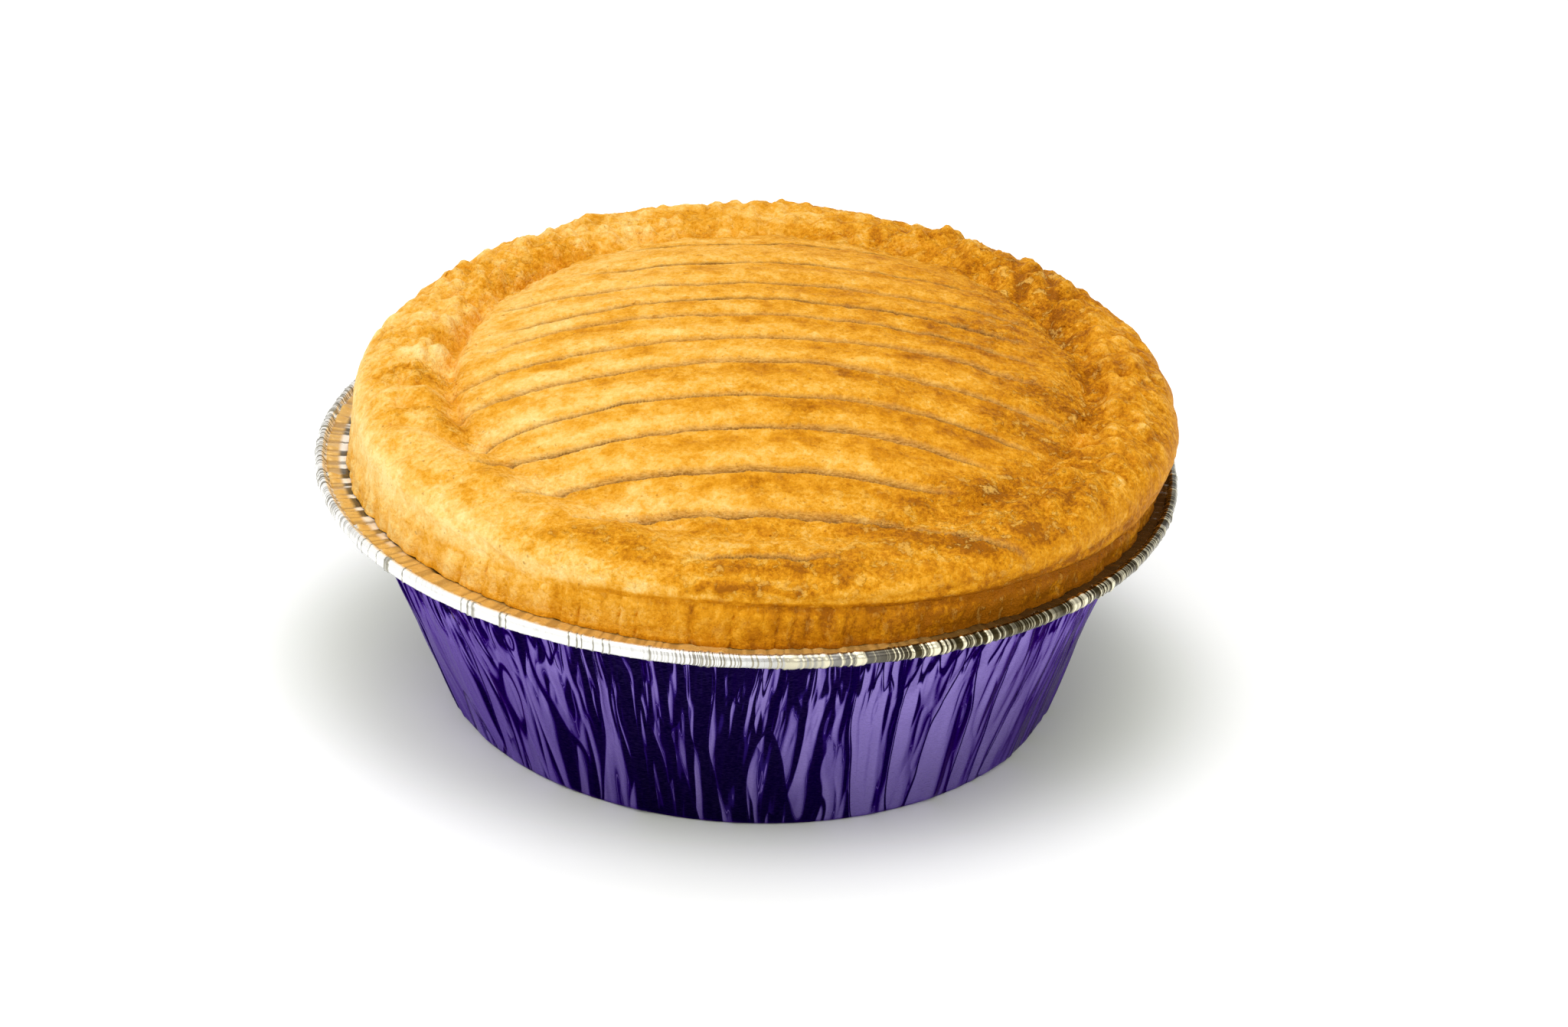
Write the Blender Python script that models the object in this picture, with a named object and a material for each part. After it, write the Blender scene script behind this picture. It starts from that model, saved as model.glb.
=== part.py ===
"""Steak and ale pie in its own foil tin.

A domed puff pastry lid, scored with twelve cuts, lies on a deep pastry case.
The case sits in a tapered tin of crumpled foil with a rolled rim.
The origin lies under the middle of the rim, at the foot of the tin, with +Z up and the front at -Y.
"""

import math
import random

import bmesh
import bpy
from mathutils import Vector, noise
from mathutils.geometry import delaunay_2d_cdt

MM = 0.001
TURN = 2 * math.pi
FIT_GAP = 0.3 * MM

# Foil tin: a tapered wall, a narrow ledge and a rolled bead.
RIM_RADIUS = 65.0 * MM
TIN_HEIGHT = 37.9 * MM
BASE_RADIUS = 47.6 * MM
BASE_SHIFT = Vector((1.5 * MM, 0, 0))
WALL_TOP_RADIUS = 59.3 * MM
WALL_TOP = 34.4 * MM
FOIL = 0.5 * MM
BEAD_WIDTH = 1.5 * MM
BEAD_HEIGHT = 2.4 * MM
LEDGE_HEIGHT = 36.3 * MM
BASE_CORNER = 0.8 * MM
BASE_LIFT = 0.5 * MM
BASE_SLOPE_IN = 0.6 * MM
BEAD_TUCK = 0.2 * MM
SHOULDER_OUT = 1.3 * MM
LEDGE_START = 1.6 * MM
SHOULDER_DROP = 0.45 * MM
BEAD_DEGREES = (-125, -65, -10, 40, 90, 145)
TIN_SHARP = 35
TIN_SIDES = 120
WALL_LEVELS = [2.0 * MM, 13.0 * MM, 25.0 * MM, WALL_TOP]
PLEAT_DEPTH = 0.35 * MM
CRUMPLE_DEPTH = 0.45 * MM
CRUMPLE_SPAN = 4
CRUMPLE_SEED = 7

# Pastry case: fills the tin and stands above the ledge as a fluted band.
CASE_SIDES = 144
WALL_CLEARANCE = 1.3 * MM
CASE_RADIUS = 60.9 * MM
CASE_TOP = 41.0 * MM
CASE_SEAT = LEDGE_HEIGHT + FIT_GAP + 0.15 * MM
CASE_FLOOR_INSET = 2.7 * MM
CASE_FOOT_INSET = 0.4 * MM
CASE_NECK_INSET = 0.6 * MM
CASE_FLARE = 0.5 * MM
CASE_ROUND = 0.3 * MM
CASE_SHARP = 50
FLUTE_DEPTH = 0.28 * MM
FLUTE_SEED = 11
CASE_SHIFT = Vector((0.8 * MM, 0, 0))

# Pastry lid: a dome on a sloping bed, a valley at the dome's foot and a rounded edge.
LID_CENTRE = Vector((2.3 * MM, 1.4 * MM, 0))
LID_RADIUS = 61.9 * MM
LID_SIDES = 120
LIP_HEIGHT = 44.0 * MM
EDGE_START = 49.0 * MM
EDGE_POWER = 2.3
BED_HEIGHT = 49.9 * MM
BED_SLOPE = 0.065
DOME_CENTRE = Vector((2.9 * MM, -2.0 * MM, 0))
DOME_RADIUS = 47.2 * MM
DOME_RISE = 8.45 * MM
DOME_POWER = 0.713
BAND_RISE = 1.9 * MM
BAND_WIDTH = 5.0 * MM
LUMP_SIZE = 8.0 * MM
DOME_LUMPS = 0.25 * MM
BAND_LUMPS = 0.9 * MM

# Score lines: middle height on the plan, left end, right end and share of the full depth.
SCORES = [
    (35.8 * MM, -23 * MM, 27 * MM, 0.4),
    (23.4 * MM, -29 * MM, 37 * MM, 1.0),
    (14.1 * MM, -40 * MM, 44 * MM, 1.0),
    (7.8 * MM, -39 * MM, 44 * MM, 0.5),
    (1.8 * MM, -41 * MM, 44 * MM, 1.0),
    (-6.0 * MM, -43 * MM, 44 * MM, 1.0),
    (-13.3 * MM, -39 * MM, 47 * MM, 1.0),
    (-21.8 * MM, -38 * MM, 40 * MM, 0.6),
    (-29.3 * MM, -40 * MM, 32 * MM, 1.0),
    (-37.8 * MM, -31 * MM, 25 * MM, 1.0),
    (-45.6 * MM, -20 * MM, 31 * MM, 1.0),
    (-52.9 * MM, -9 * MM, 16 * MM, 0.5),
]
SCORE_TILT = 0.046
SCORE_BOW = -2.29
SCORE_DEPTH = 1.15 * MM
SCORE_WIDTH = 1.25 * MM
SCORE_TAPER = 6.0 * MM
SCORE_STEP = 2.6 * MM
FILL_FROM_EDGE = 0.6
FILL_FROM_CUT = 0.55
NET_MERGE = 1e-7
SCORE_LIP = 1.0 * MM
FIELD_RADIUS = 58.5 * MM
FIELD_STEP = 3.4 * MM
EDGE_SHARES = [0.76, 0.87, 0.95, 0.99, 1.0]
EDGE_WANDER = 0.6 * MM
WANDER_RATE = 2.2
WANDER_LAYER = 0.4
BAND_EDGE_SHARE = 0.85

# The lid's side below its lip: inset from the edge and height above the underside.
LID_SKIRT = [(0.1 * MM, 1.2 * MM), (0.4 * MM, 0.3 * MM), (2.6 * MM, 0)]
LID_SHARP = 60

# Puffs and dents of the band: middle x, middle y, half widths and rise.
PUFFS = [
    (-39.0 * MM, -27.2 * MM, 3.4 * MM, 2.6 * MM, -1.5 * MM),
    (-49.5 * MM, -14.0 * MM, 4.5 * MM, 1.8 * MM, 0.6 * MM),
    (-50.5 * MM, 3.0 * MM, 3.5 * MM, 3.0 * MM, 0.7 * MM),
    (-47.5 * MM, 13.0 * MM, 3.0 * MM, 2.2 * MM, 0.9 * MM),
    (-27.0 * MM, 46.0 * MM, 9.0 * MM, 3.5 * MM, 0.7 * MM),
    (2.0 * MM, 58.0 * MM, 12.0 * MM, 3.0 * MM, 0.5 * MM),
    (52.2 * MM, 11.0 * MM, 2.2 * MM, 2.8 * MM, 0.9 * MM),
    (53.5 * MM, 21.0 * MM, 2.4 * MM, 2.4 * MM, 0.8 * MM),
    (47.5 * MM, -18.0 * MM, 3.5 * MM, 3.0 * MM, -0.6 * MM),
    (-21.0 * MM, -51.0 * MM, 7.0 * MM, 3.0 * MM, 0.5 * MM),
]


def clear_scene():
    for item in list(bpy.data.objects):
        bpy.data.objects.remove(item, do_unlink=True)


def make_material(name, colour, roughness, metallic):
    made = bpy.data.materials.new(name)
    made.use_nodes = True
    shader = made.node_tree.nodes["Principled BSDF"]
    shader.inputs["Base Color"].default_value = (*colour, 1.0)
    shader.inputs["Roughness"].default_value = roughness
    shader.inputs["Metallic"].default_value = metallic
    return made


def make_object(name, body, finish, sharp_degrees):
    """Turn a bmesh body into a named object with smooth shading and one material."""
    bmesh.ops.triangulate(body, faces=body.faces[:])
    mesh = bpy.data.meshes.new(name)
    body.to_mesh(mesh)
    body.free()
    mesh.materials.append(finish)
    mesh.shade_smooth()
    mesh.set_sharp_from_angle(angle=math.radians(sharp_degrees))
    made = bpy.data.objects.new(name, mesh)
    bpy.context.scene.collection.objects.link(made)
    return made


def smooth_step(value):
    share = min(max(value, 0.0), 1.0)
    return share * share * (3 - 2 * share)


def ring_point(radius, height, side, sides):
    angle = TURN * side / sides
    return Vector((radius * math.cos(angle), radius * math.sin(angle), height))


def bridge(body, lower, upper):
    """Join two rings of equal count. The lower ring comes first on the way round the profile."""
    count = len(lower)
    for side in range(count):
        after = (side + 1) % count
        body.faces.new((lower[side], lower[after], upper[after], upper[side]))


def turned_body(rings, start_height, end_height, start_centre, end_centre):
    """Skin a profile of rings, with a pole at its start below and at its end above."""
    body = bmesh.new()
    loops = [[body.verts.new(point) for point in ring] for ring in rings]
    first_pole = body.verts.new(start_centre + Vector((0, 0, start_height)))
    last_pole = body.verts.new(end_centre + Vector((0, 0, end_height)))
    count = len(loops[0])
    for side in range(count):
        after = (side + 1) % count
        body.faces.new((first_pole, loops[0][after], loops[0][side]))
        body.faces.new((last_pole, loops[-1][side], loops[-1][after]))
    for lower, upper in zip(loops, loops[1:]):
        bridge(body, lower, upper)
    return body


# ---- foil tin


def wall_radius(height):
    """Radius of the tin's outer wall before it is crumpled."""
    return BASE_RADIUS + (WALL_TOP_RADIUS - BASE_RADIUS) * height / WALL_TOP


def pleat_offsets():
    """Narrow zigzag pleats for the top of the wall, uneven in depth."""
    draw = random.Random(CRUMPLE_SEED)
    return [(-1) ** side * draw.uniform(0.4, 1.0) * PLEAT_DEPTH for side in range(TIN_SIDES)]


def crumple_offsets():
    """Broad facets for the foot of the wall, straight between random heights."""
    draw = random.Random(CRUMPLE_SEED + 1)
    knots = [draw.uniform(-1.0, 1.0) * CRUMPLE_DEPTH for knot in range(TIN_SIDES // CRUMPLE_SPAN)]
    offsets = []
    for side in range(TIN_SIDES):
        knot, step = divmod(side, CRUMPLE_SPAN)
        share = step / CRUMPLE_SPAN
        offsets.append(knots[knot] * (1 - share) + knots[(knot + 1) % len(knots)] * share)
    return offsets


def tin_ring(radius, height, crumple, pleats, strength):
    share = min(height / WALL_TOP, 1.0)
    ring = []
    for side in range(TIN_SIDES):
        offset = crumple[side] * (1 - share) + pleats[side] * share
        point = ring_point(radius + offset * strength, height, side, TIN_SIDES)
        ring.append(point + BASE_SHIFT * (1 - share))
    return ring


def build_tin(finish):
    pleats = pleat_offsets()
    crumple = crumple_offsets()
    bead_middle = RIM_RADIUS - BEAD_WIDTH / 2
    bead_height = TIN_HEIGHT - BEAD_HEIGHT / 2
    ledge_end = RIM_RADIUS - BEAD_WIDTH - BEAD_TUCK
    under = LEDGE_HEIGHT - FOIL
    profile = [(BASE_RADIUS - BASE_CORNER, 0, 0), (BASE_RADIUS - 0.1 * MM, BASE_LIFT, 0.5)]
    profile += [(wall_radius(height), height, 1) for height in WALL_LEVELS]
    profile += [(WALL_TOP_RADIUS + SHOULDER_OUT, under, 0.3), (ledge_end, under, 0)]
    for degrees in BEAD_DEGREES:
        turn = math.radians(degrees)
        radius = bead_middle + BEAD_WIDTH / 2 * math.cos(turn)
        profile.append((radius, bead_height + BEAD_HEIGHT / 2 * math.sin(turn), 0))
    profile += [(ledge_end, LEDGE_HEIGHT, 0), (WALL_TOP_RADIUS + LEDGE_START, LEDGE_HEIGHT, 0.3)]
    profile += [(WALL_TOP_RADIUS + FOIL, LEDGE_HEIGHT - SHOULDER_DROP, 0.6)]
    for height in reversed(WALL_LEVELS):
        profile.append((wall_radius(height) - FOIL, height, 1))
    profile += [(BASE_RADIUS - BASE_CORNER, FOIL + BASE_SLOPE_IN, 0.5)]
    profile += [(BASE_RADIUS - BASE_CORNER - BASE_SLOPE_IN, FOIL, 0)]
    rings = [tin_ring(radius, height, crumple, pleats, strength) for radius, height, strength in profile]
    body = turned_body(rings, 0, FOIL, BASE_SHIFT, BASE_SHIFT)
    return make_object("foil_tin", body, finish, TIN_SHARP)


# ---- pastry case


def build_case(finish):
    draw = random.Random(FLUTE_SEED)
    flutes = [(-1) ** side * draw.uniform(0.3, 1.0) * FLUTE_DEPTH for side in range(CASE_SIDES)]
    floor = FOIL + FIT_GAP
    foot_radius = wall_radius(WALL_LEVELS[0]) - WALL_CLEARANCE - CASE_FOOT_INSET
    middle = (CASE_SEAT + CASE_TOP) / 2
    profile = [
        (BASE_RADIUS - CASE_FLOOR_INSET, floor, 0, BASE_SHIFT),
        (foot_radius, WALL_LEVELS[0], 0, BASE_SHIFT),
        (WALL_TOP_RADIUS - WALL_CLEARANCE, WALL_TOP, 0, Vector((0, 0, 0))),
        (WALL_TOP_RADIUS - CASE_NECK_INSET, CASE_SEAT, 0, CASE_SHIFT / 2),
        (CASE_RADIUS - CASE_ROUND, CASE_SEAT + 0.1 * MM, 1, CASE_SHIFT),
        (CASE_RADIUS, CASE_SEAT + CASE_ROUND * 3, 1, CASE_SHIFT),
        (CASE_RADIUS + CASE_FLARE / 2, middle, 1, CASE_SHIFT * 1.5),
        (CASE_RADIUS + CASE_FLARE, CASE_TOP - CASE_ROUND * 2, 1, CASE_SHIFT * 2),
        (CASE_RADIUS - CASE_ROUND, CASE_TOP, 0.5, CASE_SHIFT * 2),
    ]
    rings = []
    for radius, height, fluting, shift in profile:
        ring = []
        for side in range(CASE_SIDES):
            point = ring_point(radius + flutes[side] * fluting, height, side, CASE_SIDES)
            ring.append(point + shift)
        rings.append(ring)
    body = turned_body(rings, floor, CASE_TOP, BASE_SHIFT, CASE_SHIFT * 2)
    return make_object("pastry_case", body, finish, CASE_SHARP)


# ---- pastry lid


def score_height(score, x):
    """Plan height of a score line at x: a gentle bow across the lid."""
    return score[0] + SCORE_TILT * x + SCORE_BOW * x * x


def score_cut(x, y):
    """Depth of the cuts at a point of the plan."""
    depth = 0.0
    for score in SCORES:
        to_end = min(x - score[1], score[2] - x)
        if to_end <= 0:
            continue
        away = (y - score_height(score, x)) / SCORE_WIDTH
        fade = smooth_step(to_end / SCORE_TAPER)
        depth += SCORE_DEPTH * score[3] * fade * math.exp(-away * away)
    return depth


def edge_radius(angle):
    """Outer radius of the lid, slightly out of round."""
    wander = noise.noise(ring_point(WANDER_RATE, WANDER_LAYER, angle, TURN))
    return LID_RADIUS + EDGE_WANDER * wander


def puff_rise(x, y):
    """Height that the puffs and dents add at a point of the plan."""
    rise = 0.0
    for middle_x, middle_y, half_x, half_y, amount in PUFFS:
        away = ((x - middle_x) / half_x) ** 2 + ((y - middle_y) / half_y) ** 2
        rise += amount * math.exp(-away)
    return rise


def lid_height(x, y):
    """Height of the lid's top surface over a point of the plan."""
    point = Vector((x, y, 0))
    from_dome = (point - DOME_CENTRE).length
    from_middle = point - LID_CENTRE
    share = from_dome / DOME_RADIUS
    dome = DOME_RISE * max(1 - share * share, 0.0) ** DOME_POWER
    band = BAND_RISE * smooth_step((from_dome - DOME_RADIUS) / BAND_WIDTH)
    on_band = smooth_step((share - BAND_EDGE_SHARE) / (1 - BAND_EDGE_SHARE))
    lumps = DOME_LUMPS * (1 - on_band) + BAND_LUMPS * on_band
    relief = lumps * noise.noise(point / LUMP_SIZE) + puff_rise(x, y)
    surface = BED_HEIGHT + BED_SLOPE * y + dome + band + relief
    reach = edge_radius(math.atan2(from_middle.y, from_middle.x))
    rounding = (from_middle.length - EDGE_START) / (reach - EDGE_START)
    rounding = min(max(rounding, 0.0), 1.0)
    fall = (1 - rounding ** EDGE_POWER) ** (1 / EDGE_POWER)
    return LIP_HEIGHT + (surface - LIP_HEIGHT) * fall - score_cut(x, y) * fall


def score_rows():
    """Three rows of plan points for each cut: its bottom and its two lips."""
    rows = []
    for score in SCORES:
        length = score[2] - score[1]
        count = round(length / SCORE_STEP)
        for offset in (-SCORE_LIP, 0.0, SCORE_LIP):
            row = []
            for step in range(count + 1):
                x = score[1] + length * step / count
                row.append((x, score_height(score, x) + offset))
            rows.append(row)
    return rows


def field_fill(taken):
    """A triangular grid of plan points that keeps clear of the cuts."""
    filled = []
    row_gap = FIELD_STEP * math.sqrt(3) / 2
    rows = int(FIELD_RADIUS / row_gap) + 1
    columns = int(FIELD_RADIUS / FIELD_STEP) + 1
    for row in range(-rows, rows + 1):
        for column in range(-columns, columns + 1):
            x = LID_CENTRE.x + (column + 0.5 * (row % 2)) * FIELD_STEP
            y = LID_CENTRE.y + row * row_gap
            place = Vector((x, y))
            if (place - LID_CENTRE.xy).length > FIELD_RADIUS - FILL_FROM_EDGE * FIELD_STEP:
                continue
            if all((place - other).length > FILL_FROM_CUT * FIELD_STEP for other in taken):
                filled.append(place)
    return filled


def lid_field():
    """Triangulate the lid's plan: the rim ring first, then the cuts and the fill."""
    points = []
    for side in range(LID_SIDES):
        points.append(ring_point(FIELD_RADIUS, 0, side, LID_SIDES).xy + LID_CENTRE.xy)
    edges = [(side, (side + 1) % LID_SIDES) for side in range(LID_SIDES)]
    cuts = []
    for row in score_rows():
        first = len(points) + len(cuts)
        cuts += [Vector(place) for place in row]
        edges += [(first + step, first + step + 1) for step in range(len(row) - 1)]
    points += cuts
    points += field_fill(cuts)
    places, _, faces, _, _, _ = delaunay_2d_cdt(points, edges, [], 1, NET_MERGE)
    return places, faces


def build_lid(finish):
    places, faces = lid_field()
    body = bmesh.new()
    top = [body.verts.new((place.x, place.y, lid_height(place.x, place.y))) for place in places]
    for face in faces:
        body.faces.new([top[corner] for corner in face])
    upper = top[:LID_SIDES]
    lip = []
    for share in EDGE_SHARES:
        lip.append([])
        for side in range(LID_SIDES):
            reach = edge_radius(TURN * side / LID_SIDES)
            radius = FIELD_RADIUS + (reach - FIELD_RADIUS) * share
            place = ring_point(radius, 0, side, LID_SIDES) + LID_CENTRE
            lip[-1].append(body.verts.new((place.x, place.y, lid_height(place.x, place.y))))
    floor = CASE_TOP + FIT_GAP
    for inset, lift in LID_SKIRT:
        lip.append([])
        for side in range(LID_SIDES):
            reach = edge_radius(TURN * side / LID_SIDES) - inset
            place = ring_point(reach, floor + lift, side, LID_SIDES) + LID_CENTRE
            lip[-1].append(body.verts.new(place))
    for ring in lip:
        bridge(body, ring, upper)
        upper = ring
    pole = body.verts.new(LID_CENTRE + Vector((0, 0, floor)))
    for side in range(LID_SIDES):
        body.faces.new((pole, upper[(side + 1) % LID_SIDES], upper[side]))
    return make_object("pastry_lid", body, finish, LID_SHARP)


def main():
    clear_scene()
    build_tin(make_material("purple foil", (0.16, 0.08, 0.36), 0.28, 1.0))
    build_case(make_material("pale crust", (0.72, 0.42, 0.13), 0.62, 0.0))
    build_lid(make_material("golden crust", (0.66, 0.35, 0.09), 0.55, 0.0))


main()
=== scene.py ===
# %% [markdown]
# # A steak and ale pie in its foil tin
#
# The pie has three parts: a scored lid of puff pastry, a deep pastry case whose top shows
# as a fluted band, and a tin of crumpled foil, purple outside and bare inside.
# A CAD model already fixes where each part is and how big it is. This lesson loads that
# model, makes a finely shaped piece in the place of each part, and finishes each one
# with materials made of nodes.

# %% The frame
import math

import bpy
import numpy as np
from mathutils import Matrix, Vector, noise
from mathutils.geometry import delaunay_2d_cdt


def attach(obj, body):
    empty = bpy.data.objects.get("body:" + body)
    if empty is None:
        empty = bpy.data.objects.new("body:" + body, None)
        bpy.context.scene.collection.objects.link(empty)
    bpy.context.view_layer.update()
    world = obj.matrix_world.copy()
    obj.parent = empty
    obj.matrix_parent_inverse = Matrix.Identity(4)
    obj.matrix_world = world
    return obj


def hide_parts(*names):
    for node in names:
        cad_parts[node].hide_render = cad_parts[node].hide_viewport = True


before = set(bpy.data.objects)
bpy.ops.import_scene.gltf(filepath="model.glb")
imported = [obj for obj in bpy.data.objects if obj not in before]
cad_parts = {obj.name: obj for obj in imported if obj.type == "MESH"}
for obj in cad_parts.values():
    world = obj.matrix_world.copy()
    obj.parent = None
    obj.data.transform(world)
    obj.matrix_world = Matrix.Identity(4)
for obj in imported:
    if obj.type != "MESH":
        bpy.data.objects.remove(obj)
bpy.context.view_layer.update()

MM = 0.001
TURN = 2 * math.pi
print("parts:", sorted(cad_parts))

# %% [markdown]
# ## Sums in a node tree
#
# A material or a Geometry Nodes tree does its sums in Math nodes. Placing them one by one
# hides the sum that they do, so a small class wraps a socket and gives it the usual signs.
# Writing `1 - mask * 0.5` then adds the nodes. Every other node comes from one method,
# which takes the node's type, its settings and what goes into its sockets.


# %% Wires and sheets
class Wire:
    """An output socket that can be used in a sum."""

    def __init__(self, sheet, socket):
        self.sheet = sheet
        self.socket = socket

    def __add__(self, other):
        return self.sheet.maths("ADD", self, other)

    __radd__ = __add__

    def __sub__(self, other):
        return self.sheet.maths("SUBTRACT", self, other)

    def __rsub__(self, other):
        return self.sheet.maths("SUBTRACT", other, self)

    def __mul__(self, other):
        return self.sheet.maths("MULTIPLY", self, other)

    __rmul__ = __mul__

    def __truediv__(self, other):
        return self.sheet.maths("DIVIDE", self, other)

    def __rtruediv__(self, other):
        return self.sheet.maths("DIVIDE", other, self)

    def __abs__(self):
        return self.sheet.maths("ABSOLUTE", self)

    def at_most(self, other):
        """The smaller of this and another value."""
        return self.sheet.maths("MINIMUM", self, other)

    def also(self, name):
        """Another output of the same node."""
        return Wire(self.sheet, self.socket.node.outputs[name])


class Sheet:
    """A node tree that is written as expressions."""

    def __init__(self, tree):
        self.tree = tree
        tree.nodes.clear()

    def node(self, kind, settings=None, inputs=None, out=0):
        """A node of any type, with its settings and what goes into its sockets."""
        made = self.tree.nodes.new(kind)
        for name, value in (settings or {}).items():
            if name == "stops":
                self.set_stops(made.color_ramp, value)
            else:
                setattr(made, name, value)
        for key, value in (inputs or {}).items():
            if isinstance(value, Wire):
                self.tree.links.new(value.socket, made.inputs[key])
            else:
                made.inputs[key].default_value = value
        return None if out is None else Wire(self, made.outputs[out])

    def maths(self, operation, *values):
        return self.node("ShaderNodeMath", {"operation": operation}, dict(enumerate(values)))

    def set_stops(self, ramp, stops):
        while len(ramp.elements) < len(stops):
            ramp.elements.new(0.5)
        for element, (place, colour) in zip(ramp.elements, stops):
            element.position = place
            element.color = colour

    def ease(self, value, start, end, low=0.0, high=1.0):
        """A smooth step from low to high while value goes from start to end."""
        inputs = {"Value": value, "From Min": start, "From Max": end, "To Min": low, "To Max": high}
        return self.node("ShaderNodeMapRange", {"interpolation_type": "SMOOTHSTEP"}, inputs)

    def blend(self, factor, first, second):
        """A colour between two colours."""
        return self.node("ShaderNodeMix", {"data_type": "RGBA"}, {0: factor, 6: first, 7: second}, 2)

    def ramp(self, value, stops):
        """A colour picked from the stops of a ramp."""
        return self.node("ShaderNodeValToRGB", {"stops": stops}, {0: value})

    def vector(self, operation, first, second, out=0):
        return self.node("ShaderNodeVectorMath", {"operation": operation}, {0: first, 1: second}, out)

    def length(self, place):
        return self.node("ShaderNodeVectorMath", {"operation": "LENGTH"}, {0: place}, 1)

    def scaled(self, place, amount):
        """A vector times one value."""
        return self.node("ShaderNodeVectorMath", {"operation": "SCALE"}, {0: place, "Scale": amount})

    def split(self, place):
        """The x, y and z wires of a vector."""
        parts = self.node("ShaderNodeSeparateXYZ", {}, {0: place})
        return parts, parts.also("Y"), parts.also("Z")

    def join(self, x, y, z):
        return self.node("ShaderNodeCombineXYZ", {}, {0: x, 1: y, 2: z})

    def noise(self, place, size, detail=2.0, roughness=0.5):
        """Soft noise between 0 and 1, with one lump to each size."""
        inputs = {"Vector": place, "Scale": 1 / size, "Detail": detail, "Roughness": roughness}
        return self.node("ShaderNodeTexNoise", {}, inputs)

    def field(self, name, out="Fac"):
        """A field that is stored on the points of the piece."""
        return self.node("ShaderNodeAttribute", {"attribute_name": name}).also(out)

    def bump(self, height, strength, distance):
        """A normal that is tilted by the slope of a height."""
        inputs = {"Strength": strength, "Distance": distance, "Height": height}
        return self.node("ShaderNodeBump", {}, inputs)


def srgb(red, green, blue):
    """A colour read off a screen, from 0 to 255, as a linear colour."""
    values = []
    for share in (red / 255, green / 255, blue / 255):
        values.append(share / 12.92 if share <= 0.04045 else ((share + 0.055) / 1.055) ** 2.4)
    return (*values, 1.0)


print("half grey is", [round(value, 3) for value in srgb(128, 128, 128)])

# %% [markdown]
# ## The shape of the lid
#
# The real lid is a disc of puff pastry laid over a round filling. It rises as a dome over
# the filling, dips to a valley at the dome's foot, and ends in a puffed band with a
# rounded edge. A height for every point of the plan describes all of that, so the lid
# is a fine net of points lifted to the height that a function gives.
# The twelve cuts share one bow and one tilt. Rows of points that follow the same bow keep
# the cuts crisp without a finer net everywhere.

# %% Sizes of the lid
LID_CENTRE = (2.3, 1.4)
LID_RADIUS = 61.9
FIELD_RADIUS = 58.5
LIP_HEIGHT = 44.0
EDGE_START = 49.0
EDGE_POWER = 2.3
BED_HEIGHT = 49.9
BED_SLOPE = 0.065
DOME_CENTRE = (2.9, -2.0)
DOME_RADIUS = 47.2
DOME_RISE = 8.45
DOME_POWER = 0.713
BAND_RISE = 1.9
BAND_WIDTH = 5.0
VALLEY_FILL = 0.95
CELL_RISE = 1.1
CELL_SHADE = 0.22
LUMP_SIZE = 8.0
DOME_LUMPS = 0.25
BAND_LUMPS = 0.75
SCORE_TILT = 0.046
SCORE_BOW = -0.00229

# Each cut: height on the plan at x = 0, left end, right end, share of the full depth.
SCORES = [
    (35.8, -23, 27, 0.4),
    (23.7, -29, 37, 1.0),
    (14.6, -41, 45, 1.0),
    (7.8, -40, 45, 0.5),
    (2.5, -42, 45, 1.0),
    (-5.0, -46, 45, 1.0),
    (-12.4, -45, 48, 1.0),
    (-21.1, -44, 44, 0.6),
    (-28.4, -41, 37, 1.0),
    (-37.3, -34, 31, 1.0),
    (-45.5, -25, 42, 0.85),
    (-55.0, -10, 17, 0.5),
]

# How far each cut strays from the shared bow, at these places across the lid.
DRIFT_AT = (-36, -24, -12, 0, 12, 24, 36)
DRIFT = [
    (0.0, 0.0, 0.0, 0.0, 0.0, 0.0, 0.0),
    (-0.3, 0.2, 0.4, 0.2, 0.2, -0.1, -0.3),
    (1.3, 1.1, 0.0, -0.3, -0.3, -0.3, 0.5),
    (-0.5, 0.0, 0.8, 0.5, -0.3, -0.3, -0.8),
    (-0.1, 0.9, 0.4, 0.1, -0.1, -0.5, -1.0),
    (-0.3, -0.8, -0.2, 0.3, 0.3, 0.6, -0.1),
    (-0.5, -0.3, 0.1, 0.7, 0.7, -0.5, -1.1),
    (-1.2, -0.7, 0.6, 0.3, 0.3, 0.3, -1.7),
    (-0.2, -1.1, -0.1, 0.2, 0.4, -0.2, -1.6),
    (0.2, -0.1, -0.1, 0.0, 0.0, -0.1, -0.3),
    (0.2, 0.2, 0.3, 0.2, 0.0, -0.5, -1.0),
    (0.0, 0.0, 0.0, 0.0, 0.0, 0.0, 0.0),
]
CUT_DEPTH = 1.15
CUT_WIDTH = 1.3
CUT_TAPER = 10.0
CUT_WALL = 0.32
SHOULDER_DEPTH = 0.42
SHOULDER_WIDTH = 3.0
CURL_RISE = 0.2
CREST_TOAST = 0.21
BEYOND_TOAST = 0.1
print(len(SCORES), "cuts, the longest", max(score[2] - score[1] for score in SCORES), "mm")


# %% Fields over the plan
def smooth(value):
    """A smooth step from 0 to 1, for arrays."""
    share = np.clip(value, 0.0, 1.0)
    return share * share * (3 - 2 * share)


def lumps(x, y, size, seed=0.0, stretch=1.0):
    """Soft noise between about -1 and 1 at many points, one lump to each size."""
    places = zip((x / size / stretch).tolist(), (y / size).tolist())
    return np.array([noise.noise((a, b, seed)) for a, b in places])


def crags(x, y, size, seed=0.0):
    """Sharp-crested noise: 1 on its ridges and lower in the hollows between them."""
    return 1 - np.abs(lumps(x, y, size, seed)) * 2


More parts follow.
